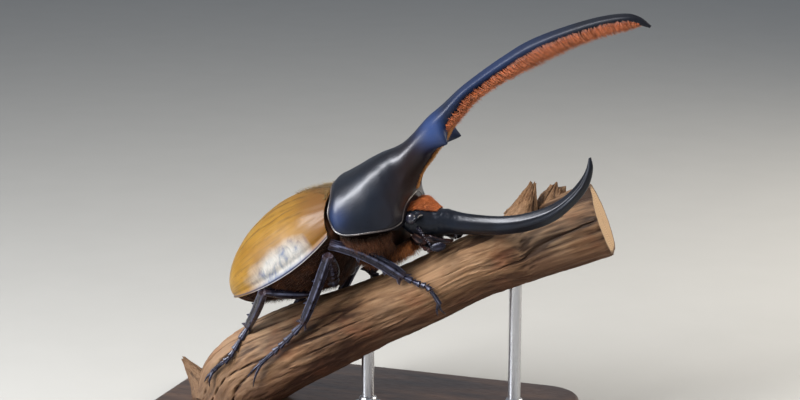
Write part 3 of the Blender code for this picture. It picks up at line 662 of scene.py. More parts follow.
RIM = [
    (5.80, 1.57), (5.62, 1.30), (5.30, 1.00), (4.95, 0.86), (4.60, 0.80), (4.30, 0.78),
    (4.10, 0.66), (3.80, 0.46), (3.30, 0.26), (2.80, 0.16), (2.20, 0.10), (1.60, 0.06),
    (1.00, 0.06), (0.50, 0.06), (0.15, 0.02), (0.0, -0.15),
]
RIM_RADII = (0.16, 0.25, 0.27, 0.27, 0.26, 0.25, 0.25, 0.26, 0.27, 0.27, 0.25, 0.16)
RIM_LIFT = 0.04
REAR_STEPS = 14
rim_half = [shell_point(place, math.pi + angle, RIM_LIFT) for place, angle in RIM]
rim_back = []
for step in range(1, REAR_STEPS + 1):
    angle = math.pi - 0.15 - (math.pi / 2 - 0.15) * step / REAR_STEPS
    rim_back.append(shell_point(0.0, angle, RIM_LIFT))
near_rim = rim_half + rim_back
far_rim = [Vector((point.x, -point.y, point.z)) for point in reversed(near_rim[:-1])]
rim_path = smooth_path(near_rim + far_rim, 560)
rim = tube(rim_path, RIM_RADII, 12, Vector((0.1, 0.02, 1)))
put(rim)
finished("shield_rim", rim, RIM_PALE)

# %% [markdown]
# ## Wing cases
# The two wing cases are thin horny domes that meet along the back. They are ochre, crossed lengthwise by
# faint wrinkles darkened with painted shade, with dark speckles behind. Towards the front they turn a
# darker orange-brown, partly their own colour and partly painted shade. Low on each side lies a painted
# reflection of the sky, a pale patch that turns blue next to the rim. Their lower edge is rolled into a rim
# with a painted highlight along it. Each is one sheet with a thickness. Its big forms, the shoulder bump,
# the rolled rim and the deepest wrinkles, are in the mesh. The fine wrinkles and the speckles are in its
# material, because a mesh for them would be far too heavy.

# %% Shape of the wing cases
ELYTRA_FRONT = 2.0
ELYTRA_LENGTH = 45.0
ELYTRA_HALF_WIDTH = 21.1
ELYTRA_HEIGHT = 14.9
ELYTRA_HIGHEST = -15.0
ELYTRA_WIDEST = -20.0
ELYTRON_THICKNESS = 0.9
DOME_POWER = 0.92


def elytra_half_width(u):
    """Half width over both wing cases at a place along the hind body."""
    if u < ELYTRA_WIDEST:
        share = (ELYTRA_WIDEST - u) / (ELYTRA_WIDEST + ELYTRA_LENGTH - ELYTRA_FRONT)
        return ELYTRA_HALF_WIDTH * (1 - min(share, 1.0) ** 2.6) ** 0.53
    share = (u - ELYTRA_WIDEST) / (ELYTRA_FRONT + 2 - ELYTRA_WIDEST)
    return ELYTRA_HALF_WIDTH - 1.4 * share ** 2 - 2.2 * share ** 12


def elytra_top(u):
    """Height of the wing cases on the middle line."""
    if u > ELYTRA_HIGHEST:
        return ELYTRA_HEIGHT - 4.0 * ((u - ELYTRA_HIGHEST) / 17) ** 2
    share = (ELYTRA_HIGHEST - u) / (ELYTRA_HIGHEST + ELYTRA_LENGTH - ELYTRA_FRONT)
    return -1.3 + (ELYTRA_HEIGHT + 1.3) * (1 - min(share, 1.0) ** 2) ** 0.625


def elytra_margin(u):
    """Height of the lower edge of the wing cases, which dips behind the shoulder."""
    share = min(max((ELYTRA_FRONT - u) / ELYTRA_LENGTH, 0.0), 1.0)
    return -0.8 - 3.3 * math.sin(math.pi * share ** 0.82) - 0.5 * share


def dome_point(u, angle, lift=0.0):
    """Point of the wing-case dome in the hind body's frame; angle 0 is the margin, 90 degrees the top."""
    low = elytra_margin(u)
    across = max(elytra_half_width(u) + lift, 0.2) * max(math.cos(angle), 0.0) ** DOME_POWER
    height = max(elytra_top(u) - low + lift, 0.2) * math.sin(angle) ** DOME_POWER
    return Vector((u, across, low + height))


ELYTRON_REAR = ELYTRA_FRONT - ELYTRA_LENGTH + 0.25


def elytron_place(length, rise):
    """Place along the hind body and angle for two shares, from front to rear and from margin to top."""
    angle = math.pi / 2 * rise
    front = ELYTRA_FRONT - 1.3 + 2.9 * math.sin(angle) ** 0.8
    return front + (ELYTRON_REAR - front) * math.sin(math.pi / 2 * length), angle


print("wing-case shape ready")

# %% Material of the wing cases
WING_CASE, tree, shader = principled(
    "wing case", Coat_Weight=0.04, Coat_Roughness=0.26, Specular_IOR_Level=0.19,
    Subsurface_Weight=0.06, Subsurface_Radius=(0.0012, 0.0007, 0.0003), Subsurface_Scale=1.0,
)
drift = object_noise(tree, 55.0, 3.0)
ochre = ramp(tree, drift, [
    (0.28, (0.100, 0.045, 0.004)), (0.5, (0.215, 0.105, 0.009)), (0.72, (0.300, 0.165, 0.024)),
])
# Darker orange-brown towards the front: partly the wing cases' own brown band, partly painted shade near the
# front edge.
front_band_and_shade = mixed(tree, attribute(tree, "FrontBandAndShade"), ochre, (0.118, 0.047, 0.011))
# Fine wrinkle grooves, darkened with painted shade where the relief is low.
lines = grain_noise(tree, (3.0, 52.0, 1.0), 5.0, 0.62, 0.35)
wrinkle_shade = ramp(tree, lines, [(0.36, grey(1.0)), (0.47, grey(0.0)), (1.0, grey(0.0))])
wrinkle_shaded = mixed(tree, math_node(tree, "MULTIPLY", wrinkle_shade, 0.55), front_band_and_shade, (0.10, 0.055, 0.012))
# A painted reflection of the sky low on each wing case: pale and bluish, broken up by noise.
pale = attribute(tree, "PaintedSkyReflection")
# Painted shade in the deep creases of the mesh.
crease_shade_share = math_node(tree, "MULTIPLY", attribute(tree, "CreaseShade"), 1.25)
crease_shaded = mixed(tree, crease_shade_share, wrinkle_shaded, (0.045, 0.022, 0.006))
uneven = math_node(tree, "MULTIPLY", math_node(tree, "SUBTRACT", drift, 0.5), 1.1)
broken_reflection = math_node(tree, "ADD", pale, uneven)
reflection_share = ramp(tree, broken_reflection, [(0.40, grey(0.0)), (0.56, grey(0.45)), (0.80, grey(1.0))])
veins = grain_noise(tree, (30.0, 8.0, 1.0), 4.0, 0.6, 0.9)
reflection_colour = ramp(tree, veins, [
    (0.34, (0.13, 0.15, 0.21)), (0.45, (0.25, 0.25, 0.25)), (0.62, (0.37, 0.35, 0.32)),
])
reflected = mixed(tree, reflection_share, crease_shaded, reflection_colour)
specks = cell_noise(tree, 620.0)
speck = ramp(tree, specks, [(0.10, grey(1.0)), (0.24, grey(0.0)), (1.0, grey(0.0))])
speck_here = math_node(tree, "MULTIPLY", speck, attribute(tree, "Rearward"))
spotted = mixed(tree, math_node(tree, "MULTIPLY", speck_here, 0.6), reflected, (0.16, 0.06, 0.03))
edge = attribute(tree, "Edge")
# A painted blue reflection in a band just above the rim, inside the pale patch.
blue_reflection_band = math_node(tree, "MULTIPLY", ramp(tree, edge, [(0.45, grey(0.0)), (0.85, grey(0.85))]), pale)
blue_reflected = mixed(tree, blue_reflection_band, spotted, (0.030, 0.062, 0.16))
dark_line = ramp(tree, edge, [(0.72, grey(0.0)), (0.82, grey(1.0)), (0.88, grey(1.0)), (0.93, grey(0.0))])
edged = mixed(tree, math_node(tree, "MULTIPLY", dark_line, 0.8), blue_reflected, (0.030, 0.034, 0.065))
# A painted highlight along the rolled rim, on all but the rear of the wing case.
rim_highlight_share = ramp(tree, edge, [(0.91, grey(0.0)), (0.95, grey(1.0))])
not_rear = math_node(tree, "SUBTRACT", 1.0, attribute(tree, "Rearward"))
front_rim_highlight = math_node(tree, "MULTIPLY", rim_highlight_share, not_rear)
rim_highlighted = mixed(tree, front_rim_highlight, edged, (0.34, 0.32, 0.32))
seamed = mixed(tree, attribute(tree, "Seam"), rim_highlighted, (0.05, 0.022, 0.008))
drive(tree, shader, Base_Color=seamed)
drive(tree, shader, Roughness=ramp(tree, drift, [(0.3, grey(0.52)), (0.7, grey(0.40))]))
bump(tree, shader, lines, 0.30, 0.00018)
bump(tree, shader, veins, 0.18, 0.00012)
bump(tree, shader, object_noise(tree, 1900.0, 2.0), 0.16, 0.00005)
bump(tree, shader, ramp(tree, specks, [(0.0, grey(0.0)), (0.3, grey(1.0))]), 0.12, 0.00006)
print("material:", WING_CASE.name)

# %% Wing cases
ELYTRON_STEPS = 190
ELYTRON_ACROSS = 120
CREASES = [
    {"rise": 0.78, "from": -3.0, "to": -27.0, "deep": 1.0},
    {"rise": 0.66, "from": -1.5, "to": -20.0, "deep": 0.55},
    {"rise": 0.60, "from": -6.0, "to": -32.0, "deep": 0.75},
    {"rise": 0.88, "from": -8.0, "to": -34.0, "deep": 0.45},
    {"rise": 0.50, "from": -3.0, "to": -15.0, "deep": 0.60},
    {"rise": 0.42, "from": -7.0, "to": -26.0, "deep": 0.35},
]


def crease_depth(place, rise, sign):
    """How deep a wrinkle is at a place on a wing case; wrinkles wander and fade at their ends."""
    deepest = 0.0
    for number, crease in enumerate(CREASES):
        slow = noise.noise(Vector((place * 0.16, number * 5.0, sign)))
        quick = noise.noise(Vector((place * 0.7, number, 2)))
        wander = 0.030 * slow + 0.010 * quick
        across = (rise - crease["rise"] - wander) / 0.0125
        ends = between(crease["from"] - place, 0.0, 3.0) * between(place - crease["to"], 0.0, 5.0)
        waver = 0.55 + 0.45 * noise.noise(Vector((place * 0.5, number * 3.0, 8)))
        deepest = max(deepest, crease["deep"] * ends * waver * math.exp(-across * across))
    return deepest


def elytron_surface(sign):
    """Surface of one wing case, with its shoulder, its rolled rim and a groove beside the middle."""
    def surface(u, v):
        place, angle = elytron_place(u, v)
        lift = 0.55 * hump(place, -5.0, 4.0) * hump(angle, 0.62, 0.22)
        lift += 0.35 * hump(place, -35.0, 5.0) * hump(angle, 0.55, 0.25)
        lift += 0.30 * hump(v, 0.012, 0.018) - 0.30 * hump(v, 0.060, 0.024)
        lift += 0.14 * hump(v, 0.995, 0.010) - 0.12 * hump(v, 0.965, 0.014)
        spot = Vector((place * 0.16, angle * 9.0, sign * 4.0))
        lift += 0.10 * noise.noise(spot) * (1 - hump(v, 0.0, 0.06)) - 0.14 * crease_depth(place, v, sign)
        point = dome_point(place, angle, lift)
        point.y = max(point.y, 0.05) * sign
        return point
    return surface


for side, sign in SIDES.items():
    case = wrapped(ELYTRON_STEPS, ELYTRON_ACROSS, elytron_surface(sign))
    bmesh.ops.recalc_face_normals(case, faces=case.faces)
    upward_area = sum(face.normal.z * face.calc_area() for face in case.faces)
    if upward_area < 0:
        bmesh.ops.reverse_faces(case, faces=case.faces)
    bmesh.ops.solidify(case, geom=case.faces[:], thickness=ELYTRON_THICKNESS)
    local = [vert.co.copy() for vert in case.verts]
    for vert in case.verts:
        vert.co = placed_hind(*vert.co)
    piece = finished("wing_case_" + side, case, WING_CASE, ("elytron_" + side,))
    shares = {"FrontBandAndShade": [], "PaintedSkyReflection": [], "Rearward": [], "Edge": [], "Seam": [], "CreaseShade": []}
    for u, y, n in local:
        low = elytra_margin(u)
        rise = max(n - low, 0.0) / max(elytra_top(u) - low, 0.5)
        inwards = max(elytra_half_width(u) - abs(y), 0.0)
        from_edge = math.hypot(max(n - low, 0.0), inwards)
        # Where the painted reflection of the sky lies.
        patch = hump(u, -16.0, 12.8) * hump(rise, 0.15, 0.36)
        v = math.asin(min(rise, 1.0) ** (1 / DOME_POWER)) / (math.pi / 2)
        # Share of the darker front colour, partly own colour and partly painted shade.
        shares["FrontBandAndShade"].append(between(u, -11.0, 1.0) * 0.85)
        shares["PaintedSkyReflection"].append(patch * 1.12 * between(-u, 1.0, 6.0))
        shares["Rearward"].append(between(-u, 24.0, 33.0))
        shares["Edge"].append(1 - min(from_edge / 3.0, 1.0))
        shares["Seam"].append(1 - between(abs(y), 0.10, 0.45))
        # Depth of the creases, for their painted shade.
        shares["CreaseShade"].append(crease_depth(u, v, sign))
    for name, values in shares.items():
        stored(piece.data, name, values)

# %% [markdown]
# ## Head and lower horn
# The head is a short wide cone that runs out into the lower horn, so both are one sheet too. The lower
# horn is smooth, with flattened sides and a groove along each, which draw out its long highlights. A
# small ledge of the head reaches over the front of each eye.

# %% Sections of the head and lower horn
HEAD = [
    (17.6, 0.6, 17.6, 5.6, 6.4),
    (20.0, -1.6, 20.0, 7.2, 7.5),
    (22.6, -2.6, 22.6, 7.4, 7.6),
    (25.2, -3.1, 25.2, 6.8, 6.9),
    (28.0, -2.9, 28.0, 6.0, 5.3),
    (31.6, -1.6, 31.6, 5.6, 3.8),
    (35.2, -1.3, 35.0, 4.9, 3.2),
    (42.2, -0.9, 42.0, 4.6, 2.8),
    (48.8, -0.2, 48.3, 4.9, 2.6),
    (56.2, 1.6, 54.9, 6.3, 2.5),
    (63.4, 4.9, 61.4, 8.9, 2.4),
    (69.2, 10.2, 66.4, 12.3, 2.2),
    (73.0, 15.4, 70.1, 16.4, 1.8),
    (74.4, 20.6, 72.3, 20.3, 1.3),
    (73.8, 24.2, 73.1, 23.9, 0.45),
]
EYE_CENTRE = Vector((22.6, 8.0, 3.9))
EYE_RADIUS = 1.55
HORN_START = 4
LEDGE = [(24.6, 6.0, 4.6), (24.5, 7.6, 4.7), (24.25, 8.9, 4.3), (23.7, 9.55, 3.7)]


def head_point(place, angle, lift=0.0):
    """Point of the head and lower horn; angle 90 degrees is its upper side."""
    x_low, z_low, x_high, z_high, half_width = blend_rows(HEAD, place)
    low = Vector((x_low, 0, z_low))
    upward = Vector((x_high - x_low, 0, z_high - z_low))
    height = upward.length
    upward.normalize()
    on_horn = between(place, HORN_START, HORN_START + 2)
    slim = between(len(HEAD) - 1 - place, 0.0, 3.0)
    sides = hump(math.cos(angle), 1, 0.16) + hump(math.cos(angle), -1, 0.16)
    shape = on_horn * slim * (0.16 * math.cos(4 * angle) - 0.34 * sides * hump(math.sin(angle), 0.12, 0.3))
    grow = lift + shape
    half = height / 2 + grow
    return oval_point(low + upward * height / 2, LEFTWARD, upward, half_width + grow, half, half, angle)


def head_surface(u, v):
    """Sheet of the head and lower horn, with soft unevenness over the head."""
    place = u * (len(HEAD) - 1)
    angle = 2 * math.pi * v - math.pi / 2
    uneven = 1 - between(place, HORN_START, HORN_START + 3)
    spot = head_point(place, angle)
    coarse = 0.30 * noise.noise(spot * 0.33)
    fine = 0.14 * noise.noise(spot * 1.1)
    return head_point(place, angle, uneven * (coarse + fine))


def mirrored_path(points, sign, count):
    """Smooth path through points of the left side, or of the right side when sign is -1."""
    return smooth_path([(x, y * sign, z) for x, y, z in points], count)


head = wrapped(230, 80, head_surface)
close_ends(head)
ledges = []
for sign in SIDES.values():
    ledge = mirrored_path(LEDGE, sign, 26)
    ledges.append(tube(ledge, (1.0, 0.75, 0.6, 0.25), 18, Vector((0.2, 0, 1)), 0.8))
head = put(joined([head] + ledges))
finished("head_and_horn", head, SHELL_BLACK, ("head", "cephalic_horn"))

# %% [markdown]
# ## Eyes
# Round and glossy black, as real beetle eyes look from a short distance; their facets only soften the
# highlight. A sphere with many segments is enough, under a clear coat and with the facets as a fine
# relief.

# %% Eyes
EYE_BLACK, tree, shader = principled(
    "eye", Base_Color=(0.012, 0.012, 0.022), Specular_IOR_Level=0.7, Coat_Weight=0.35, Coat_Roughness=0.16,
)
facets = cell_noise(tree, 9000.0)
drive(tree, shader, Roughness=ramp(tree, facets, [(0.1, grey(0.22)), (0.6, grey(0.34))]))
bump(tree, shader, facets, 0.12, 0.00002)
for side, sign in SIDES.items():
    eye = bmesh.new()
    eye.loops.layers.uv.new("Grain")
    bmesh.ops.create_uvsphere(eye, u_segments=56, v_segments=36, radius=EYE_RADIUS, calc_uvs=True)
    bmesh.ops.scale(eye, vec=(1.0, 0.85, 1.0), verts=eye.verts)
    bmesh.ops.translate(eye, vec=(EYE_CENTRE.x, EYE_CENTRE.y * sign, EYE_CENTRE.z), verts=eye.verts)
    finished("eye_ball_" + side, put(eye), EYE_BLACK, ("eye_" + side,))

# %% [markdown]
# ## Leg shell
# The legs are the same chitin as the shield but duller, slate grey with a violet tint and brown at the
# joints. A pale painted highlight runs along the crests of their ridges and along raised streaks. Pointiness
# would find the ridges in the render but not after export. So the crests are lines on the piece's own map,
# broken up by noise, and every point stores how close it is to a joint.

# %% Material of the legs and mouth
def leg_finish(name, dark, light, joint, crest_highlight, shine):
    """Slate horny shell; joint colours the segments' ends, and the crest colour is a painted highlight on the
    ridges.
    """
    material, tree, shader = principled(
        name, Specular_IOR_Level=shine, Specular_Tint=(0.78, 0.82, 1.0),
        Coat_Weight=0.15, Coat_Roughness=0.16,
    )
    patches = object_noise(tree, 380.0, 4.0)
    body = ramp(tree, patches, [(0.32, dark), (0.70, light)])
    streaks = grain_noise(tree, (4.0, 22.0, 1.0), 3.0)
    # Raised streaks get the crest colour as a painted highlight.
    ridge_highlight_share = ramp(tree, streaks, [(0.58, grey(0.0)), (0.72, grey(1.0))])
    streak_highlighted = mixed(tree, math_node(tree, "MULTIPLY", ridge_highlight_share, 0.45), body, crest_highlight)
    # Lines along the crests of the ridges, painted as a highlight in the crest colour.
    around = node(tree, "ShaderNodeSeparateXYZ", {"Vector": grain_map(tree, (1.0, 1.0, 1.0))}).outputs["Y"]
    turns = math_node(tree, "MULTIPLY_ADD", around, 10 * math.pi, -2.5 * math.pi)
    painted_crest_lines = ramp(tree, math_node(tree, "COSINE", turns), [(0.45, grey(0.0)), (0.95, grey(0.8))])
    gaps = ramp(tree, patches, [(0.38, grey(0.15)), (0.60, grey(1.0))])
    crest_highlighted = mixed(tree, math_node(tree, "MULTIPLY", painted_crest_lines, gaps), streak_highlighted, crest_highlight)
    drive(tree, shader, Base_Color=mixed(tree, attribute(tree, "Joint"), crest_highlighted, joint))
    drive(tree, shader, Roughness=ramp(tree, patches, [(0.3, grey(0.22)), (0.7, grey(0.38))]))
    bump(tree, shader, streaks, 0.45, 0.00018)
    pits = ramp(tree, cell_noise(tree, 1700.0), [(0.0, grey(0.0)), (0.3, grey(1.0))])
    bump(tree, shader, pits, 0.22, 0.00006)
    return material


LEG_SLATE = leg_finish(
    "slate leg shell", dark=(0.003, 0.002, 0.005), light=(0.012, 0.010, 0.018),
    joint=(0.040, 0.021, 0.020), crest_highlight=(0.13, 0.14, 0.22), shine=0.32,
)
FEELER_SHELL = leg_finish(
    "feeler shell", dark=(0.003, 0.002, 0.004), light=(0.007, 0.005, 0.010),
    joint=(0.022, 0.010, 0.010), crest_highlight=(0.02, 0.02, 0.04), shine=0.22,
)
MOUTH_SHELL = leg_finish(
    "mouth shell", dark=(0.003, 0.002, 0.003), light=(0.012, 0.006, 0.006),
    joint=(0.060, 0.020, 0.013), crest_highlight=(0.08, 0.045, 0.036), shine=0.25,
)
print("materials:", LEG_SLATE.name, "and", FEELER_SHELL.name, "and", MOUTH_SHELL.name)

# %% [markdown]
# ## Legs
# Every leg has a thick thigh with a ball-like hip piece, a shin with three teeth on its outer edge and
# two spurs at its end, and a foot of five flared segments that ends in two hooked claws. Tubes along each
# segment's line give all of them; the segment's own swelling is a factor on the tube's radius.

# %% Places of the joints
LEGS = {
    "front_right": {
        "hip": (12.8, -7.2, -8.0), "knee": (0.9, -17.8, -3.1), "ankle": (20.2, -8.4, -13.4),
        "foot": [(24.7, -7.9, -15.2), (27.4, -7.8, -16.0), (29.6, -7.8, -18.2), (31.2, -6.8, -21.3)],
        "claws": [(29.8, -4.5, -25.4), (31.8, -3.4, -25.0)],
    },
    "middle_right": {
        "hip": (-2.6, -6.8, -17.0), "knee": (1.1, -18.9, -6.3), "ankle": (-9.4, -13.0, -29.2),
        "foot": [(-14.2, -13.0, -34.5), (-17.2, -13.4, -37.5), (-20.0, -13.8, -40.2), (-22.9, -14.1, -42.9)],
        "claws": [(-27.4, -13.8, -47.8), (-25.5, -13.6, -50.5)],
    },
    "hind_right": {
        "hip": (-9.0, -7.6, -21.4), "knee": (-18.7, -20.6, -18.6), "ankle": (-29.8, -7.2, -34.0),
        "foot": [(-32.4, -10.2, -39.6), (-34.2, -11.6, -42.9), (-37.0, -11.9, -45.3), (-39.9, -11.6, -48.1)],
        "claws": [(-43.0, -10.4, -51.8), (-40.5, -12.2, -52.4)],
    },
    "front_left": {
        "hip": (12.8, 7.2, -8.0), "knee": (7.0, 18.8, -5.2), "ankle": (2.4, 11.4, -18.4),
        "foot": [(6.4, 13.0, -20.8), (9.6, 13.2, -20.8), (12.8, 13.6, -21.0), (15.6, 13.7, -22.8)],
        "claws": [(17.4, 13.2, -27.0), (19.4, 13.1, -26.2)],
    },
    "middle_left": {
        "hip": (-2.6, 6.8, -17.0), "knee": (0.0, 19.2, -8.0), "ankle": (-8.6, 12.8, -28.6),
        "foot": [(-13.4, 13.1, -33.9), (-16.4, 13.4, -37.2), (-19.0, 13.9, -40.2), (-21.4, 14.0, -43.4)],
        "claws": [(-25.2, 13.7, -48.3), (-22.9, 13.5, -50.0)],
    },
    "hind_left": {
        "hip": (-9.0, 7.6, -21.4), "knee": (-14.6, 20.6, -17.4), "ankle": (-21.4, 10.0, -31.6),
        "foot": [(-25.4, 12.2, -37.0), (-28.3, 13.0, -40.8), (-31.1, 13.3, -43.8), (-33.9, 13.2, -46.6)],
        "claws": [(-38.0, 12.2, -50.8), (-35.2, 13.8, -51.5)],
    },
}
FRONT_TEETH = (0.37, 0.72, 0.95)
OTHER_TEETH = (0.36, 0.68, 0.97)
FOOT_JOINTS = (0.0, 0.16, 0.31, 0.46, 0.62, 1.0)
SHIN_STEPS = 84
FOOT_STEPS = 120


def line(start, end, count):
    """Points evenly along a straight line."""
    return [start.lerp(end, step / (count - 1)) for step in range(count)]


def thigh_detail(share, angle):
    """Ridges along a thigh."""
    return 1 + 0.035 * math.cos(3 * angle + 0.8) + 0.03 * hump(share, 0.93, 0.05)


def shin_detail(share, angle):
    """Ridges along a shin, which fade at the knee."""
    return 1 + 0.11 * math.cos(5 * angle) * between(share, 0.05, 0.3) + 0.16 * hump(share, 0.03, 0.05)


def foot_detail(share, angle):
    """Five segments, each narrow where it starts and flared where it ends."""
    for start, end in zip(FOOT_JOINTS, FOOT_JOINTS[1:]):
        if share <= end:
            along = (share - start) / (end - start)
            last = end == 1.0
            flare = (0.72 + 0.28 * along ** 2) if last else (0.66 + 0.62 * along ** 1.6)
            narrow = 0.45 + 0.55 * between(along, 0.0, 0.10)
            return flare * narrow * (0.5 + 0.5 * between(1 - along, 0.0, 0.07))
    return 1.0


def spine(root, tip, radius, bend=Vector((0, 0, 0)), facing=Vector((0.13, 0.97, 0.2))):
    """Curved pointed horn, such as a tooth, a spur or a claw."""
    middle = root.lerp(tip, 0.5) + bend
    points = smooth_path([root, middle, tip], 14)
    return tube(points, (radius, radius * 0.80, radius * 0.48, 0.10), 12, facing)


def joint_shares(data, centres, reach):
    """Closeness of each point to the nearest joint, from 0 to 1."""
    flat = np.zeros(len(data.vertices) * 3, dtype=np.float32)
    data.vertices.foreach_get("co", flat)
    points = flat.reshape(-1, 3)
    nearest = np.full(len(points), 1e9)
    for centre in centres:
        nearest = np.minimum(nearest, np.linalg.norm(points - np.array(placed(centre)), axis=1))
    return np.clip(1 - nearest / (reach * MM), 0, 1) ** 0.7 * 0.8


print("leg joints:", len(LEGS))

# %% Legs
for name, joints in LEGS.items():
    hip, knee, ankle = (Vector(joints[key]) for key in ("hip", "knee", "ankle"))
    outward = Vector((0, math.copysign(1, hip.y), 0))
    to_knee = (knee - hip).normalized()
    thigh_line = line(hip, knee - to_knee * 0.1, 46)
    thigh = tube(thigh_line, (1.75, 2.3, 2.65, 2.6, 2.1, 1.5), 40, Vector((0, 0, 1)), 0.72, thigh_detail)
    ball_line = line(hip - to_knee * 2.0, hip + to_knee * 1.8, 20)
    ball = tube(ball_line, (0.6, 1.9, 2.25, 2.1, 1.2), 32, Vector((0, 0, 1)), 0.85)
    piece = finished("thigh_" + name, put(joined([thigh, ball])), LEG_SLATE, ("femur_" + name,))
    stored(piece.data, "Joint", joint_shares(piece.data, [hip + to_knee * 1.9, knee], 2.4))

    to_ankle = (ankle - knee).normalized()
    start = knee + to_ankle * 0.2
    edge = outward.cross(to_ankle).normalized()
    if edge.x + edge.z * 0.6 > 0:
        edge = -edge
    in_front = name.startswith("front")
    arch = 1.3 if in_front else 0.3
    bow = [start, start.lerp(ankle, 0.35) - edge * arch, start.lerp(ankle, 0.7) - edge * arch * 0.85, ankle]
    shin_line = smooth_path(bow, SHIN_STEPS)
    swell = (1.45, 1.65, 1.7, 1.75, 1.9, 1.6) if in_front else (1.35, 1.50, 1.45, 1.38, 1.35, 1.12)
    shin = [tube(shin_line, swell, 60, outward, 0.72, shin_detail)]
    for share in (FRONT_TEETH if in_front else OTHER_TEETH):
        root = shin_line[round(share * (SHIN_STEPS - 1))]
        size, thick = (3.0, 1.25) if in_front else (2.2, 0.85)
        shin.append(spine(root + edge * 0.2, root + edge * size + to_ankle * 1.0, thick, to_ankle * -0.30))
    for lean in (0.5, -0.6):
        root = ankle - to_ankle * 0.6
        shin.append(spine(root - edge * 0.4, root + to_ankle * 2.6 - edge * 1.6 + outward * lean, 0.42))
    piece = finished("shin_" + name, put(joined(shin)), LEG_SLATE, ("tibia_" + name,))
    stored(piece.data, "Joint", joint_shares(piece.data, [knee, ankle], 2.2))

    path = smooth_path([tuple(ankle + to_ankle * 0.3)] + joints["foot"], FOOT_STEPS)
    foot = [tube(path, (0.95, 0.95, 0.92, 0.88, 0.80), 22, outward, 0.85, foot_detail)]
    last = path[-1]
    for tip in joints["claws"]:
        foot.append(spine(last.lerp(path[-14], 0.6), Vector(tip), 0.52, outward * 0.95 + edge * 0.2))
    joint_places = [path[round(share * (FOOT_STEPS - 1))] for share in FOOT_JOINTS]
    for place in joint_places[1:5]:
        for lean in (0.45, -0.45):
            foot.append(spine(place, place - edge * 0.95 + to_ankle * 0.7 + outward * lean, 0.16))
    piece = finished("foot_" + name, put(joined(foot)), LEG_SLATE, ("tarsus_" + name,))
    stored(piece.data, "Joint", joint_shares(piece.data, joint_places, 0.9))

# %% [markdown]
# ## Mouth and feelers
# Under the head hang the jaws, the inner jaws and the cheeks, over a lumpy floor of the mouth. Each is a
# small tube or a flattened ball. Together they give the busy dark knot that the picture shows between the
# horns.

# %% Jaws
MOUTH = [
    (22.2, -5.2, 22.2, -0.8, 4.5),
    (24.7, -5.4, 24.7, -1.2, 4.2),
    (27.4, -4.8, 27.4, -1.0, 3.2),
    (29.4, -3.8, 29.4, -1.3, 1.8),
]
JAW = [(25.2, 4.6, -1.9), (27.8, 5.0, -2.3), (30.6, 4.4, -2.8), (32.4, 2.9, -3.1), (33.2, 1.1, -3.0)]
INNER_JAW = [(24.0, 3.0, -4.4), (26.2, 3.1, -5.0), (28.2, 2.6, -5.0), (29.8, 1.6, -4.4)]
CHEEK = [(22.6, 5.6, -1.6), (24.6, 6.1, -2.6), (26.4, 5.4, -3.4)]
MOUTH_TIPS = [(32.0, 2.6, -3.1), (26.4, 5.4, -3.4), (28.4, 2.4, -5.0)]


def mouth_surface(u, v):
    """Lumpy floor of the mouth."""
    x_low, z_low, x_high, z_high, half_width = blend_rows(MOUTH, u * (len(MOUTH) - 1))
    angle = 2 * math.pi * v - math.pi / 2
    middle = Vector(((x_low + x_high) / 2, 0, (z_low + z_high) / 2))
    half = (z_high - z_low) / 2
    point = oval_point(middle, LEFTWARD, Vector((0, 0, 1)), half_width, half, half, angle)
    grow = 0.55 * noise.noise(point * 0.75) + 0.25 * noise.noise(point * 2.1)
    return point + (point - middle).normalized() * grow


floor_of_mouth = wrapped(60, 60, mouth_surface)
close_ends(floor_of_mouth)
jaws = [floor_of_mouth]
for sign in SIDES.values():
    jaws.append(tube(mirrored_path(JAW, sign, 40), (1.0, 1.25, 0.95, 0.8, 0.3), 20, flat=0.8))
    jaws.append(tube(mirrored_path(INNER_JAW, sign, 30), (0.9, 1.1, 0.9, 0.35), 18, flat=0.8))
    jaws.append(tube(mirrored_path(CHEEK, sign, 26), (1.0, 1.3, 0.8), 18, flat=0.9))
piece = finished("jaws", put(joined(jaws)), MOUTH_SHELL, ("mouthparts",))
tips = [(x, y * sign, z) for x, y, z in MOUTH_TIPS for sign in SIDES.values()]
stored(piece.data, "Joint", joint_shares(piece.data, tips, 1.9))

# %% [markdown]
# ## Palps and feelers
# Two pairs of jointed palps hang below the jaws, and a feeler comes out beside each eye: a stem, a few
# beads and an oval club of three leaves. The beads could be separate balls, but a tube that narrows at
# even steps is one closed piece and reads the same.

# %% Palps and feelers
LONG_PALP = [(24.6, 5.0, -4.2), (26.0, 5.7, -5.1), (27.5, 5.3, -5.7), (29.0, 4.3, -5.4)]
SHORT_PALP = [(27.4, 1.6, -5.0), (28.8, 1.9, -5.7), (30.0, 1.7, -5.9)]
STEM = [(24.4, 7.3, 1.2), (26.0, 8.4, 0.1), (27.2, 8.5, -1.3), (28.2, 8.3, -2.6), (29.2, 8.1, -4.0)]


def beaded(count, depth):
    """Factor that swells a tube into beads."""
    return lambda share, angle: 1 - depth * abs(math.cos(math.pi * count * share)) ** 5


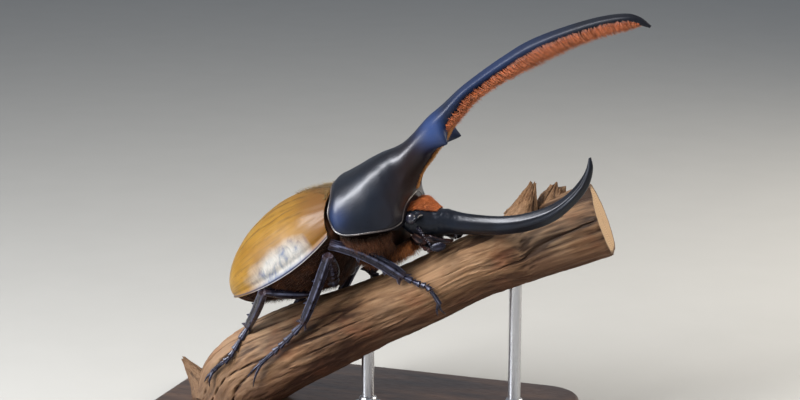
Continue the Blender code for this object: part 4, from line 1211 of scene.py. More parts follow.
for side, sign in SIDES.items():
    long_palp = tube(mirrored_path(LONG_PALP, sign, 60), (0.45, 0.6, 0.72, 0.4), 16, detail=beaded(4, 0.4))
    short_palp = tube(mirrored_path(SHORT_PALP, sign, 40), (0.35, 0.45, 0.3), 14, detail=beaded(3, 0.4))
    palps = put(joined([long_palp, short_palp]))
    piece = finished("palps_" + side, palps, MOUTH_SHELL, ("palp_" + side,))
    stored(piece.data, "Joint", [0.35] * len(piece.data.vertices))

    stem_radii = (0.62, 0.6, 0.42, 0.42, 0.5)
    feeler = [tube(mirrored_path(STEM, sign, 90), stem_radii, 16, detail=beaded(9, 0.42))]
    club_start = Vector((28.7, 8.1 * sign, -4.3))
    club_end = Vector((33.3, 8.0 * sign, -3.1))
    for offset, scale in ((-0.62, 0.9), (0.0, 1.0), (0.62, 0.9)):
        shift = Vector((0, offset, 0))
        leaf_line = line(club_start + shift, club_start.lerp(club_end, scale) + shift, 30)
        feeler.append(tube(leaf_line, (0.25, 0.95, 1.2, 1.25, 1.1, 0.35), 22, flat=0.36))
    piece = finished("feeler_" + side, put(joined(feeler)), FEELER_SHELL, ("antenna_" + side,))
    stored(piece.data, "Joint", joint_shares(piece.data, [Vector((27.0, 8.5 * sign, -1.2))], 1.6))

# %% [markdown]
# ## Underside
# Below the shield and wing cases are the breast, the chest with its keel and the ringed belly, all
# brown-black with a rusty tint and fine short hair. They are lofted like the other parts; the borders
# between the belly's rings are dents in the sheet, all the way round.

# %% Underside material
UNDERSIDE, tree, shader = principled("underside shell", Specular_IOR_Level=0.05)
patches = object_noise(tree, 160.0, 4.0)
drive(tree, shader, Base_Color=ramp(tree, patches, [
    (0.30, (0.010, 0.005, 0.004)), (0.52, (0.030, 0.013, 0.008)), (0.75, (0.085, 0.032, 0.014)),
]))
drive(tree, shader, Roughness=ramp(tree, patches, [(0.3, grey(0.55)), (0.7, grey(0.75))]))
bump(tree, shader, object_noise(tree, 1400.0, 3.0), 0.35, 0.00010)
pits = ramp(tree, cell_noise(tree, 900.0), [(0.0, grey(0.0)), (0.25, grey(1.0))])
bump(tree, shader, pits, 0.30, 0.00010)
print("material:", UNDERSIDE.name)

# %% Breast, chest and belly
BREAST = [
    (7.7, -7.8, 2.6, -0.2, 15.4),
    (9.6, -8.4, 8.0, -0.8, 15.4),
    (13.2, -8.2, 12.8, -0.1, 13.8),
    (17.2, -6.2, 17.2, 1.1, 10.8),
]
BELLY = [
    (2.0, -6.8), (-4.0, -10.4), (-9.0, -14.2), (-13.5, -15.2),
    (-24.0, -12.3), (-32.0, -9.4), (-41.5, -5.4), (-46.0, -2.6),
]
BELLY_JOINTS = (-19.5, -24.2, -28.6, -32.6, -36.2, -39.4)


def breast_surface(u, v):
    """Sheet of the breast under the shield."""
    x_low, z_low, x_high, z_high, half_width = blend_rows(BREAST, u * (len(BREAST) - 1))
    low = Vector((x_low, 0, z_low))
    upward = Vector((x_high - x_low, 0, z_high - z_low))
    height = upward.length
    upward.normalize()
    angle = 2 * math.pi * v - math.pi / 2
    middle = low + upward * height * 0.75
    point = oval_point(middle, LEFTWARD, upward, half_width, height * 0.25, height * 0.75, angle, 0.5, 1.3)
    return point + Vector((0, 0, -1)) * 0.35 * noise.noise(point * 0.5)


def height_at(rows, place):
    """Second column of a table at a value of its first column, which falls along the table."""
    for (x0, y0), (x1, y1) in zip(rows, rows[1:]):
        if place >= x1:
            return y0 + (y1 - y0) * min(max((x0 - place) / (x0 - x1), 0.0), 1.0)
    return rows[-1][1]


def hind_surface(front, rear):
    """Sheet of the hind body under the wing cases, from front to rear."""
    def surface(u, v):
        place = front + (rear - front) * u
        inset = ELYTRON_THICKNESS + 0.65
        low = elytra_margin(place)
        angle = 2 * math.pi * v - math.pi / 2
        dent = sum(0.42 * hump(place, joint, 0.35) for joint in BELLY_JOINTS)
        swell = 0.28 * max(math.cos((place + 19.5) * 1.42), 0.0) if place < -17 else 0.0
        rise = elytra_top(place) - low - inset
        drop = low - height_at(BELLY, place) + swell - dent
        middle = Vector((place, 0, low))
        width = elytra_half_width(place) - inset - dent * 0.5
        point = oval_point(middle, LEFTWARD, Vector((0, 0, 1)), width, rise, drop, angle, 0.92, 1.25)
        return point + Vector((0, 0, 1)) * 0.22 * noise.noise(point * 0.45)
    return surface


breast = wrapped(70, 96, breast_surface)
close_ends(breast)
finished("breast", put(breast), UNDERSIDE, ("prothorax",))
chest = wrapped(80, 110, hind_surface(1.6, -15.0))
close_ends(chest)
finished("chest", put(chest, lambda point: placed_hind(*point)), UNDERSIDE, ("thorax",))
belly = wrapped(170, 110, hind_surface(-15.0, -43.2))
close_ends(belly)
finished("belly", put(belly, lambda point: placed_hind(*point)), UNDERSIDE, ("abdomen",))

# %% [markdown]
# ## Small plate
# A small black triangle sits between the wing cases, right behind the shield. It is a thin plate with a
# slightly hollow middle, wrapped like the others, in the same polished finish.

# %% Small plate between the wing cases
SCUTELLUM = [(3.0, 3.2), (1.4, 3.0), (-1.2, 1.9), (-3.8, 0.6)]


def scutellum_surface(u, v):
    """Small triangular plate with a slightly hollow middle."""
    place, half_width = blend_rows(SCUTELLUM, u * (len(SCUTELLUM) - 1))
    top = elytra_top(place) + 0.2
    angle = 2 * math.pi * v - math.pi / 2
    middle = Vector((place, 0, top - 0.6))
    point = oval_point(middle, LEFTWARD, Vector((0, 0, 1)), half_width, 0.6, 0.6, angle, 0.6)
    hollow = 0.22 * hump(point.y, 0, half_width * 0.5 + 0.1) if math.sin(angle) > 0 else 0.0
    return point - Vector((0, 0, hollow))


plate = wrapped(50, 60, scutellum_surface)
close_ends(plate)
put(plate, lambda point: placed_hind(*point))
finished("small_plate", plate, SHELL_BLACK, ("scutellum",))

# %% [markdown]
# ## Hair
# Hair covers the underside of the upper horn, the shield's front edge, the top of the head, the breast,
# the belly and the front of the wing cases. Strands from a particle system would be lost on export, so
# each lock is a thin bent mesh cone. One lock is made with bmesh and repeated by arithmetic on its points.
# A second map, OFBake, gives every lock its own small patch at its root's place on the skin, so that a
# colour can be baked for it.

# %% One lock and its repetition
LOCK_PATCH = 0.003
lock = bmesh.new()
bmesh.ops.create_cone(lock, cap_ends=True, segments=3, radius1=1.0, radius2=0.10, depth=1.0)
long_edges = [edge for edge in lock.edges if abs(edge.verts[0].co.z - edge.verts[1].co.z) > 0.5]
bmesh.ops.subdivide_edges(lock, edges=long_edges, cuts=2)
bmesh.ops.triangulate(lock, faces=lock.faces)
LOCK_POINTS = np.array([vert.co for vert in lock.verts])
LOCK_POINTS[:, 2] += 0.5
LOCK_FACES = np.array([[vert.index for vert in face.verts] for face in lock.faces])
lock.free()
dice = np.random.default_rng(7)


def unit(rows):
    """Rows of a table scaled to length 1."""
    return rows / np.maximum(np.linalg.norm(rows, axis=1, keepdims=True), 1e-9)


def coat(name, roots, material, replaced=()):
    """Locks as one piece; a root is place, direction, length, width, bend and place on the skin's map."""
    place, along, length, width, bend, spot = (np.array(column, dtype=float) for column in zip(*roots))
    along = unit(along)
    across = unit(np.cross(along, unit(dice.normal(size=along.shape))))
    thin = np.cross(along, across)
    x, y, z = LOCK_POINTS.T
    flat = (width[:, None] * x)[:, :, None] * across[:, None, :]
    wide = flat + (width[:, None] * y * 0.6)[:, :, None] * thin[:, None, :]
    reach = (length[:, None] * z)[:, :, None] * along[:, None, :] + (z ** 2)[None, :, None] * bend[:, None, :]
    points = (place[:, None, :] + wide + reach).reshape(-1, 3)
    faces = (LOCK_FACES[None] + np.arange(len(roots))[:, None, None] * len(LOCK_POINTS)).reshape(-1, 3)
    data = bpy.data.meshes.new(name)
    data.from_pydata([placed(point) for point in points], [], faces.tolist())
    corners = faces.reshape(-1)
    owner = corners // len(LOCK_POINTS)
    corner = corners % len(LOCK_POINTS)
    patch = np.stack([x[corner] * 0.5, z[corner] - 0.5], axis=1) * LOCK_PATCH
    bake_map = data.uv_layers.new(name="OFBake")
    bake_map.data.foreach_set("uv", (spot[owner] + patch).astype(np.float32).ravel())
    stored(data, "Reach", np.tile(z, len(roots)))
    stored(data, "Shade", np.repeat(dice.random(len(roots)), len(LOCK_POINTS)))
    data.shade_smooth()
    data.materials.append(material)
    piece = bpy.data.objects.new(name, data)
    bpy.context.scene.collection.objects.link(piece)
    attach(piece, "root")
    if replaced:
        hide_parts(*replaced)
    print(name, "locks:", len(roots), "triangles:", len(faces))
    return piece


def hair_finish(name, root, middle, tip):
    """Hair from its root's colour to its tip's, lighter or darker from lock to lock."""
    material, tree, shader = principled(
        name, Roughness=0.62, Specular_IOR_Level=0.35, Sheen_Weight=0.12,
        Sheen_Roughness=0.4, Sheen_Tint=(1.0, 0.72, 0.50),
    )
    colour = ramp(tree, attribute(tree, "Reach"), [(0.0, root), (0.35, middle), (1.0, tip)])
    shade = ramp(tree, attribute(tree, "Shade"), [(0.0, grey(0.55)), (0.6, grey(1.0)), (1.0, grey(1.35))])
    drive(tree, shader, Base_Color=mixed(tree, 1.0, colour, shade, "MULTIPLY"))
    return material


RUST = hair_finish("rust velvet", (0.085, 0.019, 0.007), (0.32, 0.080, 0.026), (0.51, 0.168, 0.070))
GOLD = hair_finish("golden fringe", (0.08, 0.018, 0.005), (0.32, 0.105, 0.020), (0.62, 0.30, 0.085))
TAN = hair_finish("tan fuzz", (0.075, 0.040, 0.008), (0.16, 0.098, 0.028), (0.27, 0.20, 0.085))
BROWN = hair_finish("brown fringe", (0.012, 0.006, 0.004), (0.055, 0.020, 0.009), (0.15, 0.052, 0.020))
print("hair materials ready")

# %% [markdown]
# ## Velvet under the upper horn
# A dense rusty brush grows from the horn's underside, longest where the horn is deepest, and thins out
# towards its tip. Its lower outline has to follow the horn, so no lock is much longer than the way from
# the skin to that line.

# %% Velvet under the upper horn
def jitter(scale):
    """Small random vector."""
    return dice.normal(size=3) * scale


HORN_LOCKS = 8600
roots = []
while len(roots) < HORN_LOCKS:
    place = 1.42 + 8.7 * dice.random()
    top, down, depth, half_width = horn_down(place)
    if dice.random() > 0.25 + 0.75 * min(half_width / 3.6, 1.0):
        continue
    ragged = 0.16 * noise.noise(Vector((place * 5.0, 0, 3))) + 0.10 * dice.normal()
    edge = 0.22 + 0.55 * (1 - between(place, 3.0, 7.5)) + ragged
    angle = -math.pi / 2 + (dice.random() * 2 - 1) * (math.pi / 2 - edge)
    point = shell_point(HORN_ROOT + place, angle, -0.12)
    tipward = Vector((-down.z, 0, down.x))
    sideways = LEFTWARD * math.cos(angle)
    reach = depth * (1.0 + 0.14 * between(place, 3.0, 6.0) + 0.05 * dice.normal()) - (point - top).dot(down)
    length = max(reach, 0.5) * (0.55 + 0.5 * dice.random())
    along = down + tipward * 0.22 + sideways * 0.32 + Vector(jitter(0.12))
    bend = tipward * 0.25 * length - sideways * 0.22 * length
    share = (place / 11.0, angle / (2 * math.pi) + 0.75)
    roots.append((point, along, length, 0.155 + 0.05 * dice.random(), bend, share))
coat("horn_velvet", roots, RUST, ("horn_hair",))

# %% [markdown]
# ## Golden edge
# Short golden hairs stand along the shield's front edge, under the horn. They are a thin line in the
# picture, so they are few, short and laid backwards against the plate.

# %% Golden edge of the shield's front
roots = []
while len(roots) < 1900:
    place = 6.0 + 4.0 * dice.random()
    angle = -math.pi / 2 + dice.normal() * (0.07 + 0.07 * between(place, 7.6, 9.6))
    if abs(angle + math.pi / 2) > 0.36:
        continue
    point = shell_point(place, angle, -0.1)
    ahead = shell_point(place + 0.1, angle) - shell_point(place - 0.1, angle)
    out = (point - shell_point(place, math.pi / 2)).normalized()
    side = LEFTWARD * math.cos(angle)
    length = (0.55 + 0.35 * dice.random()) * (0.5 + 0.9 * between(place, 6.2, 9.2))
    along = out + side * 0.35 - ahead.normalized() * 0.75 + Vector(jitter(0.18))
    share = (place / 11.0, angle / (2 * math.pi) + 0.75)
    width = 0.11 + 0.04 * dice.random()
    roots.append((point, along, length, width, Vector((0.1, 0, -0.35)) * length, share))
coat("shield_front_fringe", roots, GOLD)

# %% [markdown]
# ## Hair over the head
# Rusty hair covers the top of the head between the two horns. It is tallest next to the shield and gets
# shorter towards the lower horn, and it leans forwards.

# %% Hair over the head
HEAD_HAIR = hair_finish("head hair", (0.13, 0.030, 0.009), (0.34, 0.085, 0.022), (0.56, 0.175, 0.055))
roots = []
while len(roots) < 4200:
    place = 0.7 + 3.45 * dice.random()
    spread = 1.0 - 0.14 * (place - 0.7)
    angle = math.pi / 2 + (dice.random() * 2 - 1) * spread
    if place < 1.5 and abs(angle - math.pi / 2) < 0.35:
        continue
    point = head_point(place, angle, -0.1)
    side = LEFTWARD * math.cos(angle)
    height = 0.60 + 2.6 * min(max((4.2 - place) / 2.1, 0.0), 1.0) * hump(angle, math.pi / 2, 0.60)
    along = Vector((0.50, 0, 0.88)) + side * 0.30 + Vector(jitter(0.10))
    length = height * (0.75 + 0.40 * dice.random())
    share = (place / 5.0, angle / math.pi)
    width = 0.12 + 0.04 * dice.random()
    roots.append((point, along, length, width, Vector((0.35, 0, -0.30)) * length, share))
coat("head_hair", roots, HEAD_HAIR, ("collar_hair",))

# %% [markdown]
# ## Fringe under the breast
# Longer hair hangs below the shield, from the front legs to the mouth. It is dark brown behind and rusty
# in front, so it is two pieces with two finishes, and a little chance mixes them where they meet.

# %% Fringe under the breast
BREAST_HAIR = [
    (5.0, -10.2, 5.0, -6.4, 7.0),
    (9.5, -10.8, 9.5, -6.0, 8.6),
    (14.5, -9.8, 14.5, -5.0, 8.0),
    (18.2, -6.8, 18.2, -3.2, 7.0),
    (21.2, -5.0, 21.2, -1.6, 6.2),
]
RUSTY = hair_finish("rusty fringe", (0.035, 0.010, 0.004), (0.19, 0.052, 0.014), (0.42, 0.145, 0.040))
dark_roots, rusty_roots = [], []
while len(dark_roots) + len(rusty_roots) < 4600:
    place = dice.random() * (len(BREAST_HAIR) - 1)
    angle = -math.pi / 2 + (dice.random() * 2 - 1) * 1.9
    x_low, z_low, x_high, z_high, half_width = blend_rows(BREAST_HAIR, place)
    half = (z_high - z_low) / 2
    middle = Vector((x_low, 0, (z_low + z_high) / 2))
    point = oval_point(middle, LEFTWARD, Vector((0, 0, 1)), half_width * 0.86, half * 0.7, half * 0.7, angle)
    out = Vector((0, math.cos(angle), math.sin(angle)))
    along = out + Vector((0.25, 0, -0.55)) + Vector(jitter(0.2))
    length = 1.7 + 1.5 * dice.random()
    share = (place / 4.0, angle / (2 * math.pi) + 0.5)
    chosen = rusty_roots if place + 0.5 * dice.normal() > 2.6 else dark_roots
    width = 0.13 + 0.05 * dice.random()
    chosen.append((point, along, length, width, Vector((0.25, 0, -0.30)) * length, share))
coat("breast_fringe", dark_roots, BROWN, ("breast_hair",))
coat("breast_fringe_front", rusty_roots, RUSTY)

# %% [markdown]
# ## Hair on the breast
# The breast itself has a shorter brown coat. Its roots are taken at random from the breast's own sheet,
# so they stand on the skin.

# %% Hair on the breast
roots = []
while len(roots) < 5200:
    u = dice.random()
    v = (dice.random() * 0.62 - 0.31) % 1.0
    point = breast_surface(u, v)
    out = (point - Vector((point.x, point.y * 0.2, -2.5))).normalized()
    along = out * 0.7 + Vector((0.45, 0, -0.55)) + Vector(jitter(0.2))
    length = 1.2 + 1.5 * dice.random()
    share = (u, (v + 0.5) % 1.0)
    width = 0.09 + 0.04 * dice.random()
    roots.append((point, along, length, width, Vector((0.15, 0, -0.35)) * length, share))
coat("breast_coat", roots, BROWN)

# %% [markdown]
# ## Fuzz of the wing cases
# Very fine tan hair grows behind the shield, thickest on top of the back. Real hairs there are far
# thinner than these, but so many would be too heavy; thin sparse locks give the same soft edge.

# %% Fuzz along the front of the wing cases
roots = []
while len(roots) < 1700:
    sign = -1 if dice.random() < 0.5 else 1
    rise = 1.0 - 0.42 * dice.random() ** 1.7
    angle = math.pi / 2 * rise
    front, _ = elytron_place(0.0, rise)
    back_reach = 0.6 + 12.0 * between(rise, 0.66, 1.0)
    u = front - 0.2 - back_reach * dice.random() ** 1.7
    point = dome_point(u, angle, -0.03)
    point.y = max(point.y, 0.1) * sign
    normal = Vector((0.05, math.cos(angle) * sign, math.sin(angle)))
    along = normal * 0.95 + Vector((-0.45, 0, 0)) + Vector(jitter(0.30))
    length = (0.8 + 1.5 * dice.random()) * (0.45 + 0.55 * between(rise, 0.60, 0.95))
    share = ((front - u) / 45.0, 0.25 + 0.25 * sign * rise)
    start = HIND_TURN @ point
    width = 0.026 + 0.014 * dice.random()
    bend = HIND_TURN @ (normal * -0.2 * length)
    roots.append((start, HIND_TURN @ along, length, width, bend, share))
coat("wing_case_fuzz", roots, TAN)

# %% [markdown]
# ## Sparse hair of the belly
# Short hairs lie backwards over the chest and belly. They break up the dark skin where it shows between
# the legs.

# %% Sparse hair on the underside
roots = []
chest_sheet = hind_surface(1.6, -43.0)
while len(roots) < 3600:
    u = 0.80 * dice.random()
    v = dice.random() * 0.46 - 0.23
    point = chest_sheet(u, v % 1.0)
    out = (point - Vector((point.x, 0, 0))).normalized()
    along = out * 0.55 + Vector((-0.8, 0, 0)) + Vector(jitter(0.2))
    length = 0.9 + 0.9 * dice.random()
    share = (u, v + 0.5)
    start = HIND_TURN @ point
    roots.append((start, HIND_TURN @ along, length, 0.055, HIND_TURN @ Vector((0, 0, 0.1)), share))
coat("belly_hair", roots, BROWN)

# %% [markdown]
# ## Branch
# The beetle holds an old dead branch with deep lengthwise furrows, three broken stubs and two sawn ends.
# Its bark is brown with paler weathered areas and dark stains. Noises drawn out along the branch give the
# fibres. The furrows get painted shade, nearly black, from their stored depth, so colour and shape agree,
# and the underside of the branch is darkened with painted shade as well.

# %% Branch material
BARK, tree, shader = principled("weathered bark", Specular_IOR_Level=0.25)
streaks = grain_noise(tree, (11.0, 40.0, 1.0), 9.0, 0.68, 0.75)
broad = object_noise(tree, 38.0, 4.0)
wood_tone = ramp(tree, streaks, [
    (0.28, (0.055, 0.026, 0.013)), (0.42, (0.135, 0.068, 0.033)),
    (0.56, (0.235, 0.130, 0.066)), (0.74, (0.39, 0.25, 0.145)),
])
weather = ramp(tree, broad, [(0.42, grey(0.0)), (0.66, grey(0.55))])
weathered = mixed(tree, weather, wood_tone, (0.34, 0.23, 0.145))
stains = ramp(tree, object_noise(tree, 24.0, 5.0, (1.0, 1.0, 1.6)), [(0.38, grey(0.62)), (0.52, grey(0.0))])
stained = mixed(tree, stains, weathered, (0.060, 0.034, 0.020))
# Painted shade, nearly black, in the furrows, from their stored depth.
furrow_shade = ramp(tree, attribute(tree, "Depth"), [(0.18, grey(0.85)), (0.48, grey(0.0))])
furrow_shaded = mixed(tree, furrow_shade, stained, (0.020, 0.009, 0.006))
# Painted shade on the underside of the branch.
under_shade = math_node(tree, "MULTIPLY", attribute(tree, "UnderShade"), 0.72)
shaded = mixed(tree, under_shade, furrow_shaded, (0.060, 0.024, 0.014))
red_areas = ramp(tree, object_noise(tree, 95.0, 3.0), [(0.52, grey(0.0)), (0.70, grey(0.4))])
drive(tree, shader, Base_Color=mixed(tree, red_areas, shaded, (0.20, 0.075, 0.036)))
drive(tree, shader, Roughness=ramp(tree, streaks, [(0.3, grey(0.95)), (0.7, grey(0.70))]))
bump(tree, shader, streaks, 0.75, 0.0006)
bump(tree, shader, object_noise(tree, 700.0, 5.0), 0.35, 0.0002)

CUT_WOOD, tree, shader = principled("sawn wood", Roughness=0.72, Specular_IOR_Level=0.3)
rings_place = attribute(tree, "Rings")
wobble = math_node(tree, "ADD", rings_place, math_node(tree, "MULTIPLY", object_noise(tree, 60.0), 0.10))
rings = math_node(tree, "SINE", math_node(tree, "MULTIPLY", wobble, 92.0))
ring_tone = math_node(tree, "MULTIPLY_ADD", rings, 0.5, 0.5)
tone = ramp(tree, ring_tone, [(0.0, (0.33, 0.20, 0.105)), (1.0, (0.55, 0.38, 0.22))])
rim_dark = ramp(tree, rings_place, [
    (0.0, grey(0.35)), (0.10, grey(0.0)), (0.88, grey(0.0)), (0.94, grey(0.9)),
])
drive(tree, shader, Base_Color=mixed(tree, rim_dark, tone, (0.07, 0.035, 0.018)))
bump(tree, shader, object_noise(tree, 500.0, 4.0), 0.4, 0.0002)
print("materials:", BARK.name, "and", CUT_WOOD.name)

# %% [markdown]
# ## Shape of the branch
# A tube with stretched noise along its length gives furrows that also show in its outline, which a noise
# in the material alone couldn't do. The broken stubs are tubes of their own that flare into the branch.
# The lower end is sawn level, so that it stands on the base.

# %% Branch sheet
BRANCH = [
    (-38.5, 0.0, -64.0, 13.2),
    (-36.0, 0.0, -58.5, 13.0),
    (-32.6, 0.0, -51.2, 13.0),
    (-22.5, 0.0, -44.2, 12.9),
    (-9.5, 0.0, -37.2, 12.1),
    (0.0, 0.2, -32.2, 11.0),
    (9.0, 0.6, -27.5, 10.1),
    (22.7, 2.0, -20.4, 9.7),
    (35.8, 6.4, -13.0, 9.5),
    (44.2, 10.8, -9.6, 10.1),
    (53.0, 15.2, -6.4, 10.8),
    (72.6, 19.2, 1.4, 11.4),
]
STUBS = {
    "low": {"foot": (-45.0, -4.0, -56.5), "tip": (-52.6, -4.6, -47.2), "radii": (5.4, 3.4, 2.0, 0.7)},
    "tall": {"foot": (50.0, 13.0, 1.0), "tip": (53.0, 13.0, 12.4), "radii": (6.0, 3.8, 2.2, 0.9)},
    "short": {"foot": (56.4, 17.4, 1.5), "tip": (58.6, 19.4, 10.2), "radii": (6.2, 4.2, 3.4, 2.2)},
}
BASE_TOP = -HEIGHT_OVER_BASE
SAW_HEIGHT = BASE_TOP + 0.3
furrows = {}


def spot_key(point):
    """Rounded place of a point, as a key."""
    return tuple(round(value, 3) for value in point)


def bark_height(turned, length):
    """Relief of the bark in millimetres at a direction around the branch and a place along it."""
    big = Vector((turned.x * 1.5, turned.y * 1.5, length * 0.035))
    fine = Vector((turned.x * 5.2, turned.y * 5.2, length * 0.085))
    swirl = noise.noise(big * 1.3 + Vector((7, 1, 3)))
    wave = noise.fractal(fine + Vector((swirl, swirl, 0)), 0.9, 2.1, 4)
    long_way = Vector((turned.x * 2.3, turned.y * 2.3, length * 0.028)) + Vector((3, 9, 1)) * 1.7
    cracked = between(noise.noise(big * 0.8 + Vector((1, 5, 2))), -0.25, 0.25)
    crack = hump(noise.noise(long_way), 0.0, 0.045) * cracked
    relief = 0.85 * noise.noise(big) + 0.60 * (0.4 - abs(wave)) + 0.16 * noise.noise(fine * 3.7)
    return relief - 0.95 * crack


def branch_surface(u, v):
    """Sheet of the branch; the depth of each furrow is kept for the material."""
    place = u * (len(BRANCH) - 1)
    *middle, radius = blend_rows(BRANCH, place)
    ahead = Vector(blend_rows(BRANCH, place + 0.05)[:3])
    behind = Vector(blend_rows(BRANCH, place - 0.05)[:3])
    along = (ahead - behind).normalized()
    side = Vector((0, 0, 1)).cross(along).normalized()
    upward = along.cross(side)
    angle = 2 * math.pi * v - math.pi / 2
    lump = 0.035 * math.sin(3 * angle + 0.9 * place) + 0.02 * math.sin(5 * angle - 1.7 * place)
    length = place * 10.0
    relief = bark_height(Vector((math.cos(angle), math.sin(angle), 0)), length)
    end = between(1 - u, 0.0, 0.006)
    reach = radius * (0.98 + lump) * (0.975 + 0.025 * end) + (relief - 0.25) * 0.9
    point = Vector(middle) + (side * math.cos(angle) + upward * math.sin(angle)) * reach
    # The second value is how far the point faces down, for the painted shade on the underside.
    furrows[spot_key(point)] = (relief, between(-math.sin(angle), -0.05, 0.85))
    return point


def stub_surface(stub):
    """Sheet of a broken stub that flares into the branch."""
    foot, tip = Vector(stub["foot"]), Vector(stub["tip"])
    along = (tip - foot).normalized()
    side = LEFTWARD.cross(along).normalized()
    thin = along.cross(side)
    table = [(radius,) for radius in stub["radii"]]

    def surface(u, v):
        angle = 2 * math.pi * v - math.pi / 2
        radius = blend_rows(table, u * (len(table) - 1))[0]
        turned = Vector((math.cos(angle) * 0.5, math.sin(angle) * 0.5, 0))
        relief = bark_height(turned, u * 22 + foot.x)
        torn = noise.noise(Vector((math.cos(angle) * 2.3, math.sin(angle) * 2.3, foot.x)))
        splinter = between(u, 0.72, 1.0) * 2.0 * torn
        reach = radius * (1 + 0.16 * relief) + relief * 0.25
        outward = side * math.cos(angle) + thin * math.sin(angle) * 0.85
        point = foot.lerp(tip, u) + along * splinter + outward * reach
        furrows[spot_key(point)] = (relief, 0.0)
        return point
    return surface


branch = wrapped(410, 190, branch_surface)
close_ends(branch)
bmesh.ops.recalc_face_normals(branch, faces=branch.faces)
everything = branch.verts[:] + branch.edges[:] + branch.faces[:]
level_cut = {"plane_co": (0, 0, SAW_HEIGHT), "plane_no": (0, 0, -1)}
bmesh.ops.bisect_plane(branch, geom=everything, clear_outer=True, **level_cut)
close_ends(branch)
stubs = []
for stub in STUBS.values():
    sheet = wrapped(56, 64, stub_surface(stub))
    close_ends(sheet)
    stubs.append(sheet)
branch = joined([branch] + stubs)
reliefs = [furrows.get(spot_key(vert.co), (0.2, 0.3)) for vert in branch.verts]
upper_end = Vector(BRANCH[-1][:3])
upper_along = (upper_end - Vector(BRANCH[-2][:3])).normalized()
centres = []
for vert in branch.verts:
    low_end = abs(vert.co.z - SAW_HEIGHT) < 0.05
    high_end = abs((vert.co - upper_end).dot(upper_along)) < 0.9 and (vert.co - upper_end).length < 2.0
    centres.append(0.0 if high_end or (low_end and len(vert.link_faces) > 12) else 1.0)
piece = finished("old_branch", put(branch), BARK, ("branch",), 40)
piece.data.materials.append(CUT_WOOD)
stored(piece.data, "Depth", np.clip(np.array([relief for relief, _ in reliefs]) * 0.75 + 0.45, 0, 1))
# Where the underside gets painted shade.
stored(piece.data, "UnderShade", [under_shade for _, under_shade in reliefs])
stored(piece.data, "Rings", centres)
for polygon in piece.data.polygons:
    height = polygon.center.z / MM - REFERENCE.z
    facing_down = polygon.normal.z < -0.98 and abs(height - SAW_HEIGHT) < 0.05
    at_top = polygon.normal.dot(upper_along) > 0.9 and (polygon.center - placed(upper_end)).length < 0.0105
    if facing_down or (at_top and max(centres[index] == 0.0 for index in polygon.vertices)):
        polygon.material_index = 1

# %% [markdown]
# ## Display stand
# A flat wooden base with rounded corners and an eased upper edge, stained dark, and two turned steel
# rods. The base is a bevelled block. Each rod is a profile spun about its own axis, with a bead above its
# foot.

# %% Stand materials
DARK_WOOD, tree, shader = principled(
    "stained wood", Specular_IOR_Level=0.45, Coat_Weight=0.35, Coat_Roughness=0.18,
)
grain = object_noise(tree, 26.0, 6.0, (1.0, 9.0, 9.0), 0.62)
pores = object_noise(tree, 240.0, 3.0, (1.0, 14.0, 14.0))
colour = ramp(tree, grain, [
    (0.30, (0.020, 0.010, 0.006)), (0.50, (0.055, 0.027, 0.014)), (0.70, (0.105, 0.054, 0.028)),
])
pore_share = ramp(tree, pores, [(0.30, grey(0.7)), (0.42, grey(0.0))])
drive(tree, shader, Base_Color=mixed(tree, pore_share, colour, (0.012, 0.006, 0.004)))
drive(tree, shader, Roughness=ramp(tree, pores, [(0.3, grey(0.55)), (0.6, grey(0.32))]))
bump(tree, shader, pores, 0.25, 0.00008)

STEEL, tree, shader = principled("brushed steel", Metallic=1.0, Base_Color=(0.56, 0.56, 0.58))
brushing = object_noise(tree, 900.0, 3.0, (1.0, 1.0, 0.04))
drive(tree, shader, Roughness=ramp(tree, brushing, [(0.3, grey(0.20)), (0.7, grey(0.36))]))
bump(tree, shader, brushing, 0.10, 0.00004)
print("materials:", DARK_WOOD.name, "and", STEEL.name)

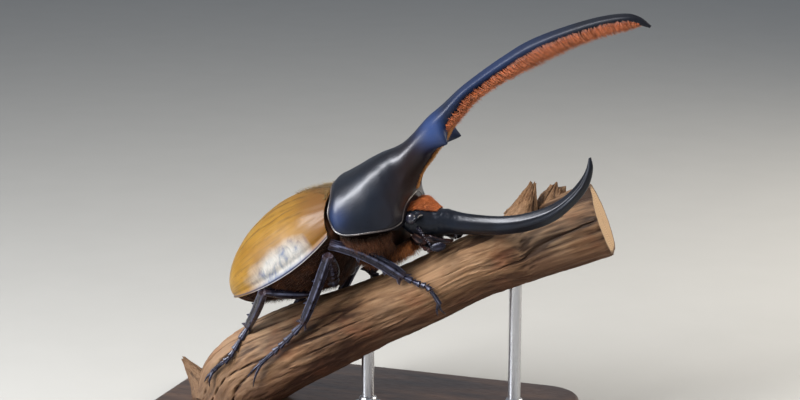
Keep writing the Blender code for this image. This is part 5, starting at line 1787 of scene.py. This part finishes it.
# %% Base
BASE_BOTTOM = BASE_TOP - BASE_SIZE[2]
base = bmesh.new()
base.loops.layers.uv.new("Grain")
bmesh.ops.create_cube(base, size=1.0, calc_uvs=True)
bmesh.ops.scale(base, vec=BASE_SIZE, verts=base.verts)
bmesh.ops.translate(base, vec=(-REFERENCE.x, 0, (BASE_TOP + BASE_BOTTOM) / 2), verts=base.verts)
corners = [edge for edge in base.edges if abs(edge.verts[0].co.z - edge.verts[1].co.z) > 1]
bmesh.ops.bevel(base, geom=corners, offset=12.0, segments=12, profile=0.5, affect="EDGES", material=-1)
rim = [edge for edge in base.edges if all(abs(vert.co.z - BASE_TOP) < 0.01 for vert in edge.verts)]
bmesh.ops.bevel(base, geom=rim, offset=1.5, segments=5, profile=0.5, affect="EDGES", material=-1)
foot_rim = [edge for edge in base.edges if all(abs(vert.co.z - BASE_BOTTOM) < 0.01 for vert in edge.verts)]
bmesh.ops.bevel(base, geom=foot_rim, offset=0.5, segments=2, profile=0.5, affect="EDGES", material=-1)
finished("display_base", put(base), DARK_WOOD, ("stand_base",), 30)

# %% [markdown]
# ## Rods
# Two turned rods carry the branch, each standing under its middle line. A lathe would cut them from a
# bar, so a profile is drawn once and spun. Where a rod ends inside the branch is read from the branch's
# own table.

# %% Rods
ROD_PLACES = {"rear": 6.0, "front": 48.0}
ROD_RADIUS = 1.9
ROD_FOOT = [
    (0.0, 0.02), (4.7, 0.02), (5.0, 0.3), (5.0, 1.3), (4.8, 1.7), (4.2, 2.0),
    (2.9, 2.2), (2.6, 2.6), (2.75, 3.2), (2.5, 3.8), (2.0, 4.1), (ROD_RADIUS, 4.6),
]
BRANCH_STEPS = 1000


def branch_middle(x):
    """Middle and radius of the branch at a place along it."""
    for step in range(BRANCH_STEPS):
        *middle, radius = blend_rows(BRANCH, (len(BRANCH) - 1) * step / (BRANCH_STEPS - 1))
        if middle[0] >= x:
            break
    return Vector(middle), radius


for name, x in ROD_PLACES.items():
    middle, radius = branch_middle(x)
    top = middle.z - radius * 0.72
    profile = [(across, BASE_TOP + height) for across, height in ROD_FOOT]
    profile += [(ROD_RADIUS, top), (0.0, top)]
    rod = bmesh.new()
    rod.loops.layers.uv.new("Grain")
    verts = [rod.verts.new((across, 0, height)) for across, height in profile]
    edges = [rod.edges.new(pair) for pair in zip(verts, verts[1:])]
    full_turn = {"cent": (0, 0, 0), "axis": (0, 0, 1), "angle": 2 * math.pi, "steps": 56}
    bmesh.ops.spin(rod, geom=verts + edges, use_merge=True, **full_turn)
    bmesh.ops.remove_doubles(rod, verts=rod.verts, dist=0.001)
    bmesh.ops.translate(rod, vec=(x, middle.y, 0), verts=rod.verts)
    finished("rod_" + name, put(rod), STEEL, ("stand_rod_" + name,), 40)
